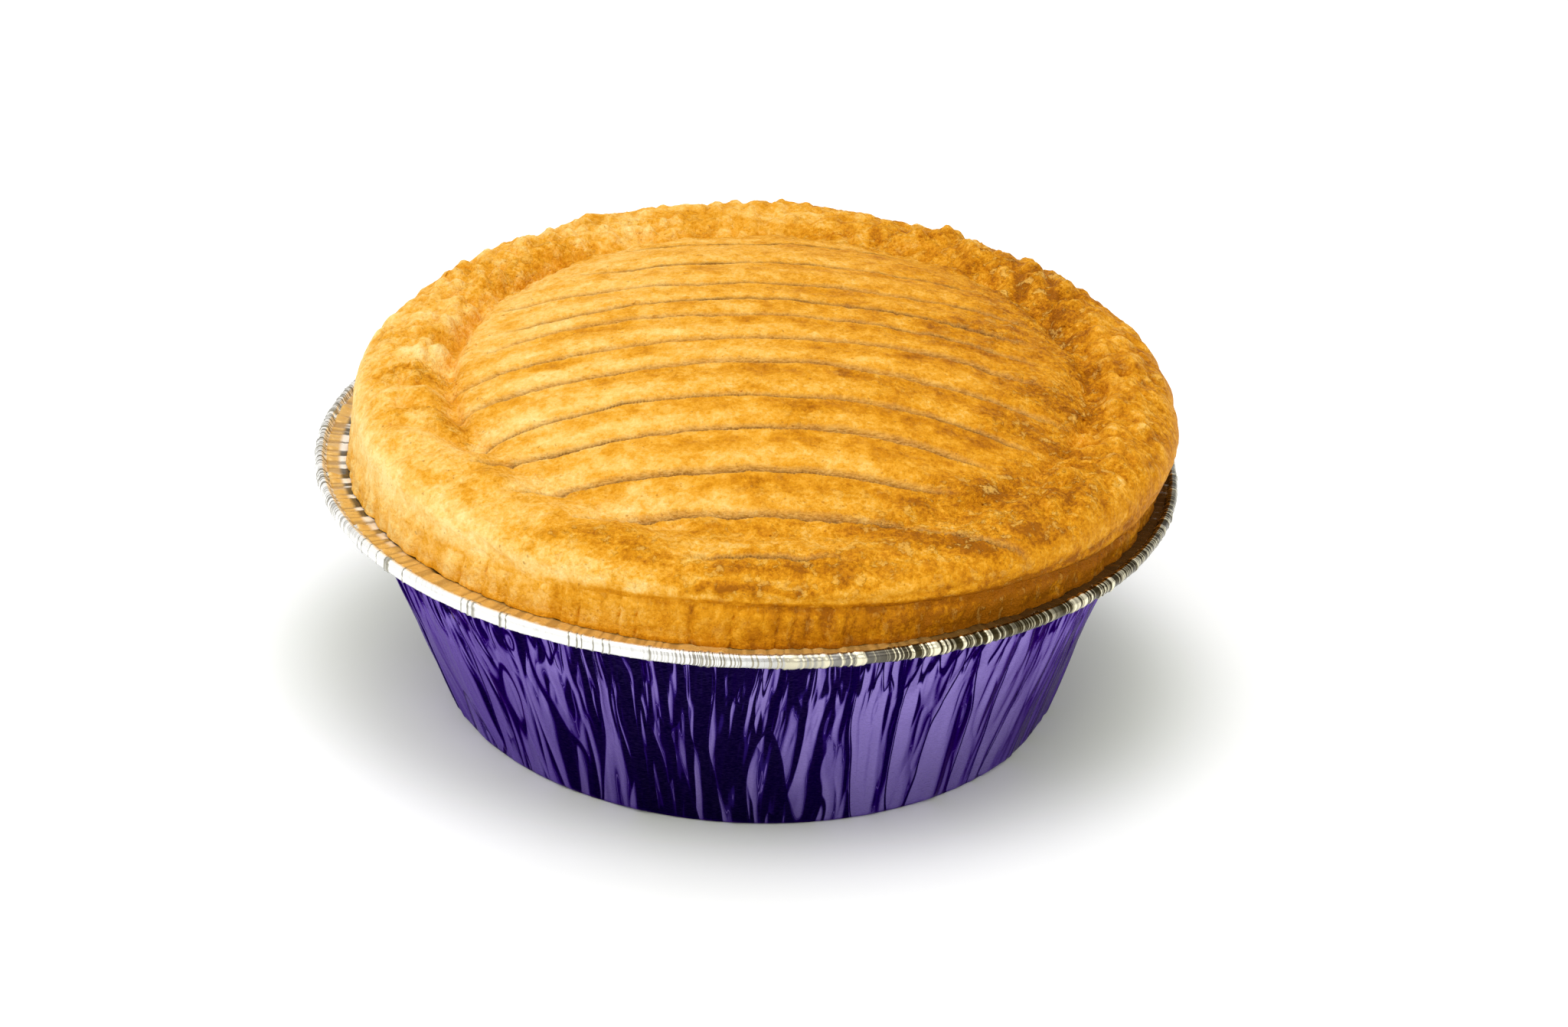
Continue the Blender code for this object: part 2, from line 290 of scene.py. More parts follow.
def near_line(x, y, points):
    """Distance to a line through the points, and the share along it."""
    best = np.full(len(x), 1e9)
    along = np.zeros(len(x))
    count = len(points) - 1
    for step in range(count):
        ax, ay = points[step]
        bx, by = points[step + 1]
        dx, dy = bx - ax, by - ay
        share = np.clip(((x - ax) * dx + (y - ay) * dy) / (dx * dx + dy * dy), 0, 1)
        away = np.hypot(x - ax - share * dx, y - ay - share * dy)
        closer = away < best
        best = np.where(closer, away, best)
        along = np.where(closer, (step + share) / count, along)
    return best, along


def cut_line(level, x):
    """Plan height at each x of a line that runs with the cuts and crosses x = 0 near a level."""
    rank = np.interp(level, [score[0] for score in SCORES][::-1], np.arange(len(SCORES))[::-1])
    first = min(int(rank), len(SCORES) - 2)
    share = rank - first
    stray = np.array(DRIFT[first]) * (1 - share) + np.array(DRIFT[first + 1]) * share
    eased = sum(np.interp(x + step, DRIFT_AT, stray) for step in (-6, -3, 0, 3, 6)) / 5
    return level + SCORE_TILT * x + SCORE_BOW * x * x + eased


def cut_fields(x, y):
    """For every point: depth of the cuts, bare cut face, a painted shade line at the cut foot and
    change of browning.
    """
    depth = np.zeros(len(x))
    face = np.zeros(len(x))
    foot = np.zeros(len(x))
    toast = np.zeros(len(x))
    wander = 0.1 * lumps(x, y * 0.2, 1.9, 3.1) + 0.3 * lumps(x, y * 0.1, 9.0, 5.7)
    ragged = lumps(x, y, 0.9, 8.2)
    broken = 0.75 + 0.5 * lumps(x, y * 0.1, 3.2, 6.4)
    patchy = np.clip(0.65 + 1.3 * lumps(x, y, 6.0, 4.4, 1.6) + 0.9 * lumps(x, y, 1.9, 4.9, 1.3), 0, 1.6)
    far_side = smooth((y + 12) / 40)
    for number, (middle, left, right, share) in enumerate(SCORES):
        across = y - cut_line(middle, x) + wander
        open_part = smooth(np.minimum(x - left, right - x) / CUT_TAPER) * (x > left) * (x < right)
        gape = 0.85 + 0.35 * lumps(x, y * 0 + number * 9.3, 14.0, 1.3)
        width = CUT_WIDTH * (0.4 + 0.6 * share) * gape + 0.12 * ragged
        near = np.exp(-((across / CUT_WALL) ** 2)) * (across < 0)
        slope = np.clip(across / width, 0, 1)
        far = (1 - smooth(slope)) * (across >= 0)
        shoulder = SHOULDER_DEPTH * np.exp(-((across / SHOULDER_WIDTH) ** 2)) * (0.5 + 0.5 * share)
        curl = CURL_RISE * np.exp(-(((across + 1.2) / 0.8) ** 2))
        depth += open_part * (CUT_DEPTH * share * gape * (near + far) + shoulder - curl * share)
        strength = open_part * (0.45 + 0.55 * share)
        face += strength * smooth((across + 0.05) / 0.1) * (1 - slope) ** 0.7
        # Painted shade: a dark line along the foot of each cut, where the far wall lies in shadow.
        from_shade_line = (across - 0.06 - 0.3 * far_side) / (0.19 + 0.12 * far_side)
        foot += 1.3 * strength * np.exp(-(from_shade_line**2)) * broken
        crest = patchy * (1 - 0.55 * far_side) * np.exp(-(((across + 2.2) / 1.7) ** 2))
        beyond = (1 - 0.5 * far_side) * np.exp(-(((across - 2.6) / 1.3) ** 2))
        toast += open_part * (CREST_TOAST * crest - BEYOND_TOAST * beyond)
    return depth, np.clip(face, 0, 1), np.clip(foot, 0, 1), toast


def edge_radius(angle):
    """Outer radius of the lid in millimetres, slightly out of round."""
    wander = [noise.noise((2.2 * math.cos(a), 2.2 * math.sin(a), 0.4)) for a in np.ravel(angle)]
    return LID_RADIUS + 0.6 * np.array(wander)


def around(turn, height, size, tall, seed):
    """Soft noise on the pie's side that closes on itself, one lump to each size and tall."""
    x = np.cos(turn) * LID_RADIUS / size
    y = np.sin(turn) * LID_RADIUS / size
    z = np.broadcast_to(np.asarray(height) / tall + seed, x.shape)
    return np.array([noise.noise(place) for place in zip(x.tolist(), y.tolist(), z.tolist())])


deepest = cut_fields(np.zeros(400), np.linspace(-50, 30, 400))[0].max()
print("the cuts are up to", round(float(deepest), 1), "mm deep in the middle")

# %% [markdown]
# The band and the foot of the dome have creases and puffs of their own. Each one is a
# short entry in a list: a line with a depth and a width, or a spot with two half widths
# and a rise. A list like this is easy to read against the real pie and easy to change.

# %% Creases, puffs and browned patches
# Each crease: points on the plan, depth and half width.
CREASES = [
    ([(-54.7, -7.5), (-49.6, -10.7), (-44.5, -11.1)], 0.7, 1.5),
    ([(-52.3, -14.8), (-48.9, -16.5), (-42.1, -18.0)], 0.8, 1.5),
    ([(-54.1, -19.5), (-48.8, -21.9), (-44.9, -24.5), (-37.5, -27.4)], 0.6, 1.4),
    ([(-51.5, -28.4), (-47.3, -29.1), (-42.3, -29.9)], 0.5, 1.2),
    ([(-45.1, -36.3), (-41.4, -37.2), (-33.1, -32.8)], 0.5, 1.2),
    ([(-39.5, -26.0), (-42.5, -17.0), (-44.2, -10.0), (-44.9, -3.0), (-44.6, 3.0)], 0.55, 1.3),
    ([(-44.6, 1.0), (-43.9, 8.0), (-41.5, 17.2)], 0.8, 1.2),
    ([(-41.5, 16.2), (-38.2, 24.1), (-32.9, 31.1), (-27.5, 36.1)], 0.9, 1.3),
    ([(-51.0, 3.8), (-48.6, 2.4), (-46.2, 4.0), (-44.8, 1.8)], 0.7, 0.6),
    ([(-51.5, 12.0), (-48.0, 12.4), (-46.0, 16.6)], 0.5, 0.7),
    ([(-47.8, 17.6), (-45.6, 18.2), (-43.0, 16.6)], 0.5, 0.6),
    ([(-44.6, 23.8), (-42.5, 24.6), (-40.2, 23.2)], 0.5, 0.6),
    ([(-56.0, 8.0), (-51.0, 8.5), (-46.0, 10.5)], 0.6, 1.3),
    ([(-53.0, 17.0), (-48.0, 17.5), (-43.5, 20.5)], 0.6, 1.3),
    ([(-48.0, 28.0), (-43.0, 27.0), (-38.5, 29.0)], 0.5, 1.2),
    ([(49.8, -23.7), (52.0, -9.8), (51.5, 2.7), (48.5, 10.2)], 0.7, 1.8),
    ([(48.5, 10.2), (45.7, 18.3), (43.0, 25.3)], 0.8, 1.6),
    ([(51.8, 4.0), (55.5, 2.0), (60.5, 3.2)], 0.5, 0.8),
    ([(52.0, -9.8), (55.3, -10.6), (58.8, -9.6)], 0.5, 0.8),
    ([(49.0, 16.0), (54.0, 17.0), (57.5, 15.0)], 0.7, 0.8),
    ([(46.5, 24.0), (50.0, 26.5), (54.0, 26.0)], 0.6, 0.8),
    ([(41.0, 33.0), (45.0, 34.0), (48.0, 37.0)], 0.5, 0.8),
]

CREASE_GAIN = 1.6

# Each puff: middle x, middle y, half widths, rise.
PUFFS = [
    (-39.0, -27.2, 3.6, 2.8, -1.0),
    (-49.5, -14.0, 4.5, 1.8, 0.6),
    (-48.0, -25.8, 4.0, 1.8, 0.5),
    (-48.6, -0.3, 1.5, 1.5, 0.7),
    (-46.0, 0.6, 1.1, 1.3, 0.6),
    (-48.6, 8.8, 2.6, 2.4, 0.8),
    (-54.0, 8.0, 2.4, 2.6, 0.4),
    (-45.1, 12.6, 1.4, 1.6, 0.6),
    (-46.6, 20.4, 2.6, 1.8, 0.6),
    (-42.4, 21.0, 1.3, 1.4, 0.6),
    (-49.6, 15.2, 2.0, 1.6, 0.5),
    (-27.0, 46.0, 9.0, 3.5, 0.25),
    (2.0, 58.0, 12.0, 3.0, 0.5),
    (52.2, 11.8, 1.8, 2.2, 0.8),
    (55.4, 13.6, 1.6, 1.8, 0.7),
    (58.0, 8.4, 1.6, 2.0, 0.5),
    (53.5, 21.0, 2.4, 2.4, 0.8),
    (48.5, 29.0, 2.4, 2.4, 0.8),
    (56.5, -4.0, 2.5, 3.0, 0.6),
    (47.5, -18.0, 3.5, 3.0, -0.6),
    (30.0, -36.0, 6.0, 3.0, 0.5),
    (-21.0, -51.0, 7.0, 3.0, 0.5),
    (24.0, -47.5, 6.0, 3.0, 0.4),
]

# Each browned patch: middle x, middle y, half widths, strength.
TOASTED = [
    (38.0, -20.0, 5.0, 2.4, 0.4),
    (41.0, -11.6, 6.0, 3.0, 0.24),
    (46.0, 17.0, 4.0, 6.0, 0.16),
    (44.0, -7.5, 6.0, 3.2, 0.24),
    (39.0, 10.0, 7.0, 13.0, 0.2),
    (56.0, -4.0, 4.5, 20.0, -0.12),
    (54.0, 14.0, 4.0, 12.0, -0.16),
    (38.0, 26.0, 9.0, 5.0, 0.12),
    (50.5, -2.0, 2.5, 9.0, 0.1),
    (48.0, 30.0, 5.0, 4.0, 0.06),
    (27.0, 6.0, 12.0, 6.0, 0.1),
    (22.0, -18.0, 10.0, 4.0, 0.12),
    (-25.0, -51.6, 7.0, 2.0, 0.2),
    (-16.5, -54.4, 5.0, 1.8, 0.24),
    (-8.0, -57.4, 6.0, 1.6, 0.16),
    (6.0, -57.6, 8.0, 1.4, 0.1),
    (17.0, -56.0, 5.0, 1.4, 0.16),
    (29.5, -48.0, 5.0, 2.6, 0.13),
    (34.0, -42.0, 12.0, 8.0, 0.08),
    (12.0, -58.0, 26.0, 3.0, 0.1),
    (-26.0, -51.5, 16.0, 3.0, 0.1),
    (30.0, -36.0, 8.0, 3.5, 0.1),
    (8.0, -42.5, 9.0, 1.8, 0.1),
    (-50.5, -6.4, 5.0, 1.8, 0.26),
    (-46.2, -8.6, 2.6, 2.2, 0.24),
    (-54.0, -9.6, 3.6, 1.2, 0.16),
    (-48.0, -18.3, 4.6, 1.5, 0.26),
    (-43.0, -21.6, 2.4, 2.4, 0.26),
    (-40.0, -24.6, 1.8, 2.2, 0.24),
    (-54.6, 5.6, 3.0, 2.4, 0.16),
    (-48.0, 27.0, 4.0, 2.4, 0.16),
    (-57.0, -17.0, 2.0, 4.0, 0.2),
    (-43.5, 21.0, 4.5, 4.0, 0.12),
    (-38.0, 27.0, 4.0, 5.0, 0.2),
    (-31.0, 35.0, 5.0, 3.0, 0.16),
    (-11.5, -15.6, 4.0, 2.0, 0.14),
    (7.7, -25.1, 3.0, 2.4, 0.22),
    (-2.9, -18.6, 7.0, 2.0, 0.1),
    (17.9, -14.0, 6.0, 2.2, 0.12),
    (1.8, -40.4, 3.4, 1.5, 0.16),
    (14.4, -40.4, 3.6, 1.8, 0.22),
    (-24.6, -7.6, 5.0, 1.6, 0.1),
    (38.0, -35.0, 4.0, 3.0, 0.14),
    (46.5, -34.0, 4.0, 3.0, 0.1),
    (24.6, -39.8, 3.4, 2.0, 0.14),
    (54.2, -4.1, 2.4, 4.0, -0.14),
    (52.7, -18.7, 4.0, 3.5, -0.14),
    (55.4, -29.3, 3.0, 3.0, -0.1),
    (30.2, -31.6, 4.0, 1.8, -0.14),
    (31.2, -40.2, 3.0, 1.6, -0.12),
    (27.2, 41.9, 6.0, 2.0, -0.14),
    (-27.0, 46.5, 10.0, 2.0, 0.12),
    (2.0, 60.0, 22.0, 1.6, 0.14),
    (36.0, 47.0, 10.0, 3.0, 0.14),
    (2.0, 53.0, 34.0, 6.0, -0.12),
]


def spots(x, y, entries):
    """The sum of soft oval spots."""
    total = np.zeros(len(x))
    for middle_x, middle_y, half_x, half_y, amount in entries:
        away = ((x - middle_x) / half_x) ** 2 + ((y - middle_y) / half_y) ** 2
        total += amount * np.exp(-away)
    return total


def fine_relief(x, y, on_band, flaky):
    """Small lumps, crumbs and layered plates of the crust."""
    fine = 0.17 * lumps(x, y, 3.4, 11.0) * (1 + on_band)
    fine += 0.07 * lumps(x, y, 1.3, 12.0) * (1 + flaky)
    fine += flaky * 0.36 * (crags(x, y, 2.6, 13.0) - 0.45)
    fine += (0.06 + flaky * 0.2) * (crags(x, y, 1.1, 14.0) - 0.45)
    plates = lumps(x, y, 4.2, 15.0, 1.8) * 5
    return fine + 0.13 * (0.3 + flaky) * smooth((plates - np.floor(plates)) / 0.2)


def puffed_cells(x, y, share):
    """Broken cells of puffed crust on the back and the right of the band, wider at the right."""
    craggy = smooth((share - 0.93) / 0.1) * np.maximum(smooth((y + 22) / 20), smooth((x - 34) / 12))
    rightward = smooth((x + 30) / 60)
    big, small = 0.6 - crags(x, y, 4.6, 16.0), 0.6 - crags(x, y, 3.0, 18.0)
    cells = small + (big - small) * rightward + 0.4 * (0.6 - crags(x, y, 2.1, 17.0))
    return craggy * cells * (0.85 + 0.15 * rightward)


def creased(x, y, surface):
    """The surface with its creases pressed in, and the strongest fold at each point."""
    fold = np.zeros(len(x))
    for points, depth, width in CREASES:
        away, along = near_line(x, y, points)
        taper = smooth(along / 0.25) * smooth((1 - along) / 0.25)
        mark = np.exp(-((away / width) ** 1.35)) * (0.25 + 0.75 * taper)
        surface = surface - CREASE_GAIN * depth * mark
        fold = np.maximum(fold, mark * depth)
    return surface, fold


def lid_fields(x, y):
    """Height of the lid in millimetres and its colour masks, for arrays of plan points."""
    from_dome = np.hypot(x - DOME_CENTRE[0], y - DOME_CENTRE[1])
    from_middle = np.hypot(x - LID_CENTRE[0], y - LID_CENTRE[1])
    share = from_dome / DOME_RADIUS
    dome = DOME_RISE * np.clip(1 - share * share, 0, None) ** DOME_POWER
    band = BAND_RISE * smooth((from_dome - DOME_RADIUS) / BAND_WIDTH)
    on_band = smooth((share - 0.85) / 0.15)
    relief = (DOME_LUMPS * (1 - on_band) + BAND_LUMPS * on_band) * lumps(x, y, LUMP_SIZE)
    front = smooth(((DOME_CENTRE[1] - y) / np.maximum(from_dome, 1) - 0.35) / 0.35)
    filled = VALLEY_FILL * front * np.exp(-(((share - 1.01) / 0.055) ** 2))
    surface = BED_HEIGHT + BED_SLOPE * y + dome + band + filled + relief

    patches = spots(x, y, TOASTED)
    flaky = np.clip(0.12 + patches * 2.2 + on_band * (0.3 + 0.4 * smooth((x + 30) / 70)), 0, 1)
    fine = fine_relief(x, y, on_band, flaky)
    cells = puffed_cells(x, y, share)
    surface, fold = creased(x, y, surface + fine + CELL_RISE * cells + spots(x, y, PUFFS))

    depth, face, foot, toast = cut_fields(x, y)
    reach = edge_radius(np.arctan2(y - LID_CENTRE[1], x - LID_CENTRE[0]))
    rounding = np.clip((from_middle - EDGE_START) / (reach - EDGE_START), 0, 1)
    fall = (1 - rounding**EDGE_POWER) ** (1 / EDGE_POWER)
    height = LIP_HEIGHT + (surface - LIP_HEIGHT) * fall - depth * fall
    # Painted shade: the creases are made browner by the depth of their fold.
    brown = 0.54 * patches + toast + 0.12 * fold + 0.26 * (relief + fine) * (0.5 + 0.4 * on_band)
    brown = brown - CELL_SHADE * cells
    return height, {"brown": brown, "cut_face": face, "cut_foot": foot, "flaky": flaky}


middle_height, _ = lid_fields(np.array([0.0]), np.array([0.0]))
print("middle of the lid is", round(float(middle_height[0]), 1), "mm high")

# %% [markdown]
# ## The side of the pie
#
# Lid and case meet in a crease that runs round the side: deepest at the front right, where
# the lid bulges over the fluted band, and smoothed away at the front left, where the two
# baked into one. One function gives the side for every angle and height, and both pieces take
# their rings from it, so they meet in the same crease all the way round.

# %% The side surface
FOOT_CENTRE = (0.8, 0.0)
FOOT_RADIUS = 60.9
FOOT_HEIGHT = 36.8

# The crease between lid and case: azimuth in degrees, height, depth.
CREASE_ROUND = [
    (-180, 40.3, 0.08),
    (-150, 40.2, 0.0),
    (-122, 41.4, 0.0),
    (-108, 42.3, 0.25),
    (-95, 42.8, 0.5),
    (-84, 42.5, 0.65),
    (-74, 42.0, 0.7),
    (-64, 41.9, 0.8),
    (-50, 41.3, 0.95),
    (-38, 40.0, 0.8),
    (-10, 39.9, 0.5),
    (45, 40.8, 0.45),
    (110, 41.0, 0.4),
    (150, 40.6, 0.3),
]
CREASE_WIDTH = 0.7

# Each browned patch of the side: azimuth, height, half widths in degrees and mm, strength.
SIDE_TOASTED = [
    (-92, 45.2, 8, 1.5, 0.2),
    (-85, 44.6, 7, 1.2, 0.22),
    (-99, 45.6, 7, 1.5, 0.12),
    (-76, 45.6, 5, 1.0, 0.24),
    (-108, 45.6, 6, 0.9, 0.22),
    (-119, 45.6, 4, 1.0, 0.16),
    (-56, 46.3, 6, 1.2, 0.14),
    (-62, 44.0, 9, 1.0, 0.14),
    (-54, 39.6, 14, 2.0, 0.2),
    (-46, 42.6, 12, 0.8, 0.18),
]

# Finer lines on the side: points (azimuth in degrees, height), depth and half width.
SIDE_LINES = [
    ([(-104, 44.6), (-95, 44.4), (-86, 43.7), (-78, 43.5), (-68, 43.7), (-56, 44.0)], 0.25, 0.4),
    ([(-64, 43.0), (-52, 42.6), (-43, 42.6), (-31, 42.7), (-12, 43.4)], 0.3, 0.35),
    ([(-151, 45.9), (-140, 45.9), (-131, 45.0), (-124, 43.4), (-118, 40.5)], 0.25, 0.5),
    ([(20, 43.6), (50, 42.9), (80, 43.8)], 0.3, 0.3),
    ([(115, 42.8), (140, 43.8), (165, 43.0)], 0.3, 0.3),
]


def crease_at(turn, column):
    """Height (1) or depth (2) of the main crease at each angle."""
    table = np.array(CREASE_ROUND)
    return np.interp(np.degrees(turn), table[:, 0], table[:, column], period=360)


def side_marks(turn, height):
    """Depth of the crease and of the finer lines at each angle and height."""
    away = (height - crease_at(turn, 1)) / CREASE_WIDTH
    marks = crease_at(turn, 2) * np.exp(-(away**2))
    degrees = (np.degrees(turn) + 180) % 360 - 180
    arc = np.radians(degrees) * LID_RADIUS
    level = np.broadcast_to(height, arc.shape)
    for points, depth, width in SIDE_LINES:
        line = [(math.radians(azimuth) * LID_RADIUS, z) for azimuth, z in points]
        distance, along = near_line(arc, level, line)
        taper = smooth(along / 0.2) * smooth((1 - along) / 0.2)
        marks = marks + depth * taper * np.exp(-((distance / width) ** 2))
    return marks


def flute_relief(turn, height):
    """Upright flutes that the foil's pleats pressed into the case, strongest near its foot."""
    slant = turn + 0.003 * (height - FOOT_HEIGHT) * np.sin(turn * 3)
    low = 1 - smooth((height - crease_at(turn, 1) + 0.8) / 1.6)
    valleys = 1 - np.abs(around(slant, height, 3.0, 80, 31)) * 5
    ribs = 0.32 * around(slant, height, 2.2, 80, 32) - 0.4 * np.clip(valleys, 0, 1) ** 2
    return ribs * (0.15 + 0.85 * low)


def side_brown(turn, height, marks, flutes):
    """Browning of the side, much of it painted shade, and how much its browned patches stand out, at
    each angle and height.
    """
    under = smooth((LIP_HEIGHT + 0.5 - height) / 2.5)
    front = np.clip(np.cos(turn + math.radians(72)), 0, 1)
    patchy = 0.7 + around(turn, height, 7.0, 3.0, 37)
    degrees = (np.degrees(turn) + 180) % 360 - 180
    below = 1 - smooth((height - crease_at(turn, 1) - 0.4) / 0.8)
    # Painted shade: the side is browner in the crease marks and flute valleys, paler on the flute ribs,
    # and browner under the lid's lip, below the crease and at the foot, most of all at the front right.
    brown = 0.2 * marks + 0.06 * under + 0.1 * under * front * patchy - 0.35 * flutes
    low = 1 - smooth((height - FOOT_HEIGHT) / 0.9)
    brown = brown + (0.2 * below + 0.3 * low) * (0.3 + 0.7 * front)
    crumbly = np.clip(0.4 + around(turn, height, 1.7, 1.1, 38) * 2.2, 0, 1) * (0.4 + patchy)
    patches = spots(degrees, np.broadcast_to(height, degrees.shape), SIDE_TOASTED)
    brown = brown + patches * (0.3 + 1.1 * crumbly)
    # Painted light: the side facing the left front is made paler.
    return brown - 0.18 * np.clip(np.cos(turn + math.radians(150)), 0, 1), patches


def side_rings(turn, height):
    """Plan places and colour masks of the pie's side at each angle and height."""
    share = smooth((height - FOOT_HEIGHT) / (LIP_HEIGHT - FOOT_HEIGHT))
    marks = side_marks(turn, height)
    flutes = flute_relief(turn, height)
    layers = 0.2 * around(turn, height, 5.0, 1.8, 35) + 0.1 * around(turn, height, 1.6, 1.2, 36)
    broken = np.clip(np.cos(turn - math.radians(35)) + 0.4, 0, 1) * smooth((height - 41.5) / 2)
    layers = layers + broken * 0.5 * around(turn, height, 3.0, 2.4, 39)
    foot = -0.25 * (1 - smooth((height - FOOT_HEIGHT) / 1.1))
    radius = FOOT_RADIUS + (edge_radius(turn) - FOOT_RADIUS) * share
    radius = radius + layers + flutes - marks - foot
    x = FOOT_CENTRE[0] + (LID_CENTRE[0] - FOOT_CENTRE[0]) * share + radius * np.cos(turn)
    y = FOOT_CENTRE[1] + (LID_CENTRE[1] - FOOT_CENTRE[1]) * share + radius * np.sin(turn)
    brown, patches = side_brown(turn, height, marks, flutes)
    bare = np.zeros(len(turn))
    return x, y, {"brown": brown, "cut_face": bare, "cut_foot": bare, "flaky": 0.25 + patches * 1.6}


front_crease = float(crease_at(-TURN / 4, 1))
print("the crease is", round(front_crease, 1), "mm up at the front")

# %% [markdown]
# ## The net of points
#
# A square grid would cut across the scores in steps. Here each row of points follows the
# bow of the cuts, and the rows come closer together near a cut. A Delaunay net joins the
# rows with a ring near the edge, and the edge itself is a set of rings.


# %% Make the lid
SHARP_DEGREES = 70


def linked(name, data):
    """An object with this data, placed in the scene."""
    made = bpy.data.objects.new(name, data)
    bpy.context.scene.collection.objects.link(made)
    return made


def to_mesh(name, points, faces, fields=None):
    """A mesh object in metres from points in millimetres, with number fields on its points."""
    mesh = bpy.data.meshes.new(name)
    mesh.from_pydata((np.asarray(points) * MM).tolist(), [], faces)
    for field, values in (fields or {}).items():
        layer = mesh.attributes.new(field, "FLOAT", "POINT")
        layer.data.foreach_set("value", np.asarray(values, dtype=np.float32))
    mesh.shade_smooth()
    mesh.set_sharp_from_angle(angle=math.radians(SHARP_DEGREES))
    mesh.update()
    return linked(name, mesh)


def triangles(piece):
    piece.data.calc_loop_triangles()
    return len(piece.data.loop_triangles)


def full_turn(sides):
    """The angles of equal sides all the way round."""
    return np.arange(sides) / sides * TURN


LID_SIDES = 760
COLUMN_STEP = 0.47
ROW_FINE = 0.2
ROW_WIDE = 0.46


def bowed_rows():
    """Plan points in rows that follow the cuts, close together near each cut."""
    places = []
    level = -FIELD_RADIUS - 12
    odd = 0
    while level < FIELD_RADIUS + 12:
        gap = min(abs(level - score[0]) for score in SCORES)
        columns = np.arange(-FIELD_RADIUS - 4, FIELD_RADIUS + 4, COLUMN_STEP) + odd * COLUMN_STEP / 2
        height = cut_line(level, columns)
        inside = np.hypot(columns - LID_CENTRE[0], height - LID_CENTRE[1]) < FIELD_RADIUS - 0.3
        places.append(np.column_stack((columns[inside], height[inside])))
        level += ROW_FINE + (ROW_WIDE - ROW_FINE) * float(smooth((gap - 1.7) / 0.8))
        odd = 1 - odd
    return np.concatenate(places)


def bridge(lower, upper):
    """Faces between two rings of equal count, seen from outside with the lower ring below."""
    count = len(lower)
    after = [(side + 1) % count for side in range(count)]
    return [[lower[side], lower[after[side]], upper[after[side]], upper[side]] for side in range(count)]


class Growing:
    """Points, faces and point fields of a mesh that is built ring by ring."""

    def __init__(self, fields):
        self.points = []
        self.faces = []
        self.fields = {name: [] for name in fields}
        self.total = 0

    def add(self, x, y, z, fields):
        """Add points and give back their numbers."""
        count = len(x)
        self.points.append(np.column_stack((x, y, np.broadcast_to(z, count))))
        for name, values in self.fields.items():
            values.append(np.broadcast_to(fields.get(name, 0.0), count))
        self.total += count
        return list(range(self.total - count, self.total))

    def join(self, rings):
        """Bridge rings that are given from the lowest upwards."""
        for lower, upper in zip(rings, rings[1:]):
            self.faces += bridge(lower, upper)

    def close(self, ring, centre, height, below):
        """Close a ring with a fan round one point, seen from below or from above."""
        pole = self.add(np.array([centre[0]]), np.array([centre[1]]), height, {})[0]
        for side in range(len(ring)):
            edge = [ring[side], ring[(side + 1) % len(ring)]]
            self.faces.append([pole, *(edge[::-1] if below else edge)])

    def make(self, name):
        fields = {field: np.concatenate(values) for field, values in self.fields.items()}
        return to_mesh(name, np.concatenate(self.points), self.faces, fields)


CRUST_FIELDS = ("brown", "cut_face", "cut_foot", "flaky")
EDGE_RINGS = 13
SEAM_INSET = 1.4


def build_lid():
    turn = full_turn(LID_SIDES)
    ring = np.column_stack((np.cos(turn), np.sin(turn))) * FIELD_RADIUS + LID_CENTRE
    plan = np.concatenate((ring, bowed_rows()))
    edges = [(side, (side + 1) % LID_SIDES) for side in range(LID_SIDES)]
    flat, _, faces, _, _, _ = delaunay_2d_cdt([Vector(place) for place in plan], edges, [], 1, 1e-7)
    flat = np.array([tuple(place) for place in flat])
    height, fields = lid_fields(flat[:, 0], flat[:, 1])
    lid = Growing(CRUST_FIELDS)
    lid.add(flat[:, 0], flat[:, 1], height, fields)
    lid.faces += [list(corners) for corners in faces]
    upper = list(range(LID_SIDES))

    reach = edge_radius(turn)
    for share in 1 - (1 - np.linspace(0, 1, EDGE_RINGS)[1:]) ** 1.9:
        radius = FIELD_RADIUS + (reach - FIELD_RADIUS) * share
        x = LID_CENTRE[0] + radius * np.cos(turn)
        y = LID_CENTRE[1] + radius * np.sin(turn)
        z, fields = lid_fields(x, y)
        _, _, side_fields = side_rings(turn, z)
        lip_x, lip_y, _ = side_rings(turn, np.full(LID_SIDES, LIP_HEIGHT))
        near = smooth((share - 0.3) / 0.7)
        out_x = x + (lip_x - LID_CENTRE[0] - reach * np.cos(turn)) * near
        out_y = y + (lip_y - LID_CENTRE[1] - reach * np.sin(turn)) * near
        marks = (side_marks(turn, z) - side_marks(turn, LIP_HEIGHT)) * near
        fields["brown"] = fields["brown"] * (1 - near) + side_fields["brown"] * near
        fields["flaky"] = np.clip(fields["flaky"] * (1 - near) + side_fields["flaky"] * near, 0, 0.7)
        lower = lid.add(out_x - marks * np.cos(turn), out_y - marks * np.sin(turn), z, fields)
        lid.faces += bridge(lower, upper)
        upper = lower
    seam = crease_at(turn, 1)
    for share in np.linspace(0, 1, 9)[1:]:
        z = LIP_HEIGHT + (seam - LIP_HEIGHT) * share
        x, y, fields = side_rings(turn, z)
        lower = lid.add(x, y, z, fields)
        lid.faces += bridge(lower, upper)
        upper = lower
    inner = lid.add(x - SEAM_INSET * np.cos(turn), y - SEAM_INSET * np.sin(turn), z, fields)
    lid.faces += bridge(inner, upper)
    lid.close(inner, LID_CENTRE, float(seam.mean()), True)
    return lid.make("crust_lid")


crust_lid = build_lid()
print("the lid has", triangles(crust_lid), "triangles")

# %% [markdown]
# ## The pastry case
#
# The case is the deep cup of pastry that holds the filling. Only its top shows, as a band
# between the ledge of the tin and the lid, with the fine upright flutes that the pleats
# of the foil pressed into the raw dough. A profile of rings makes it, and a field of
# upright noise pushes the shown rings in and out.

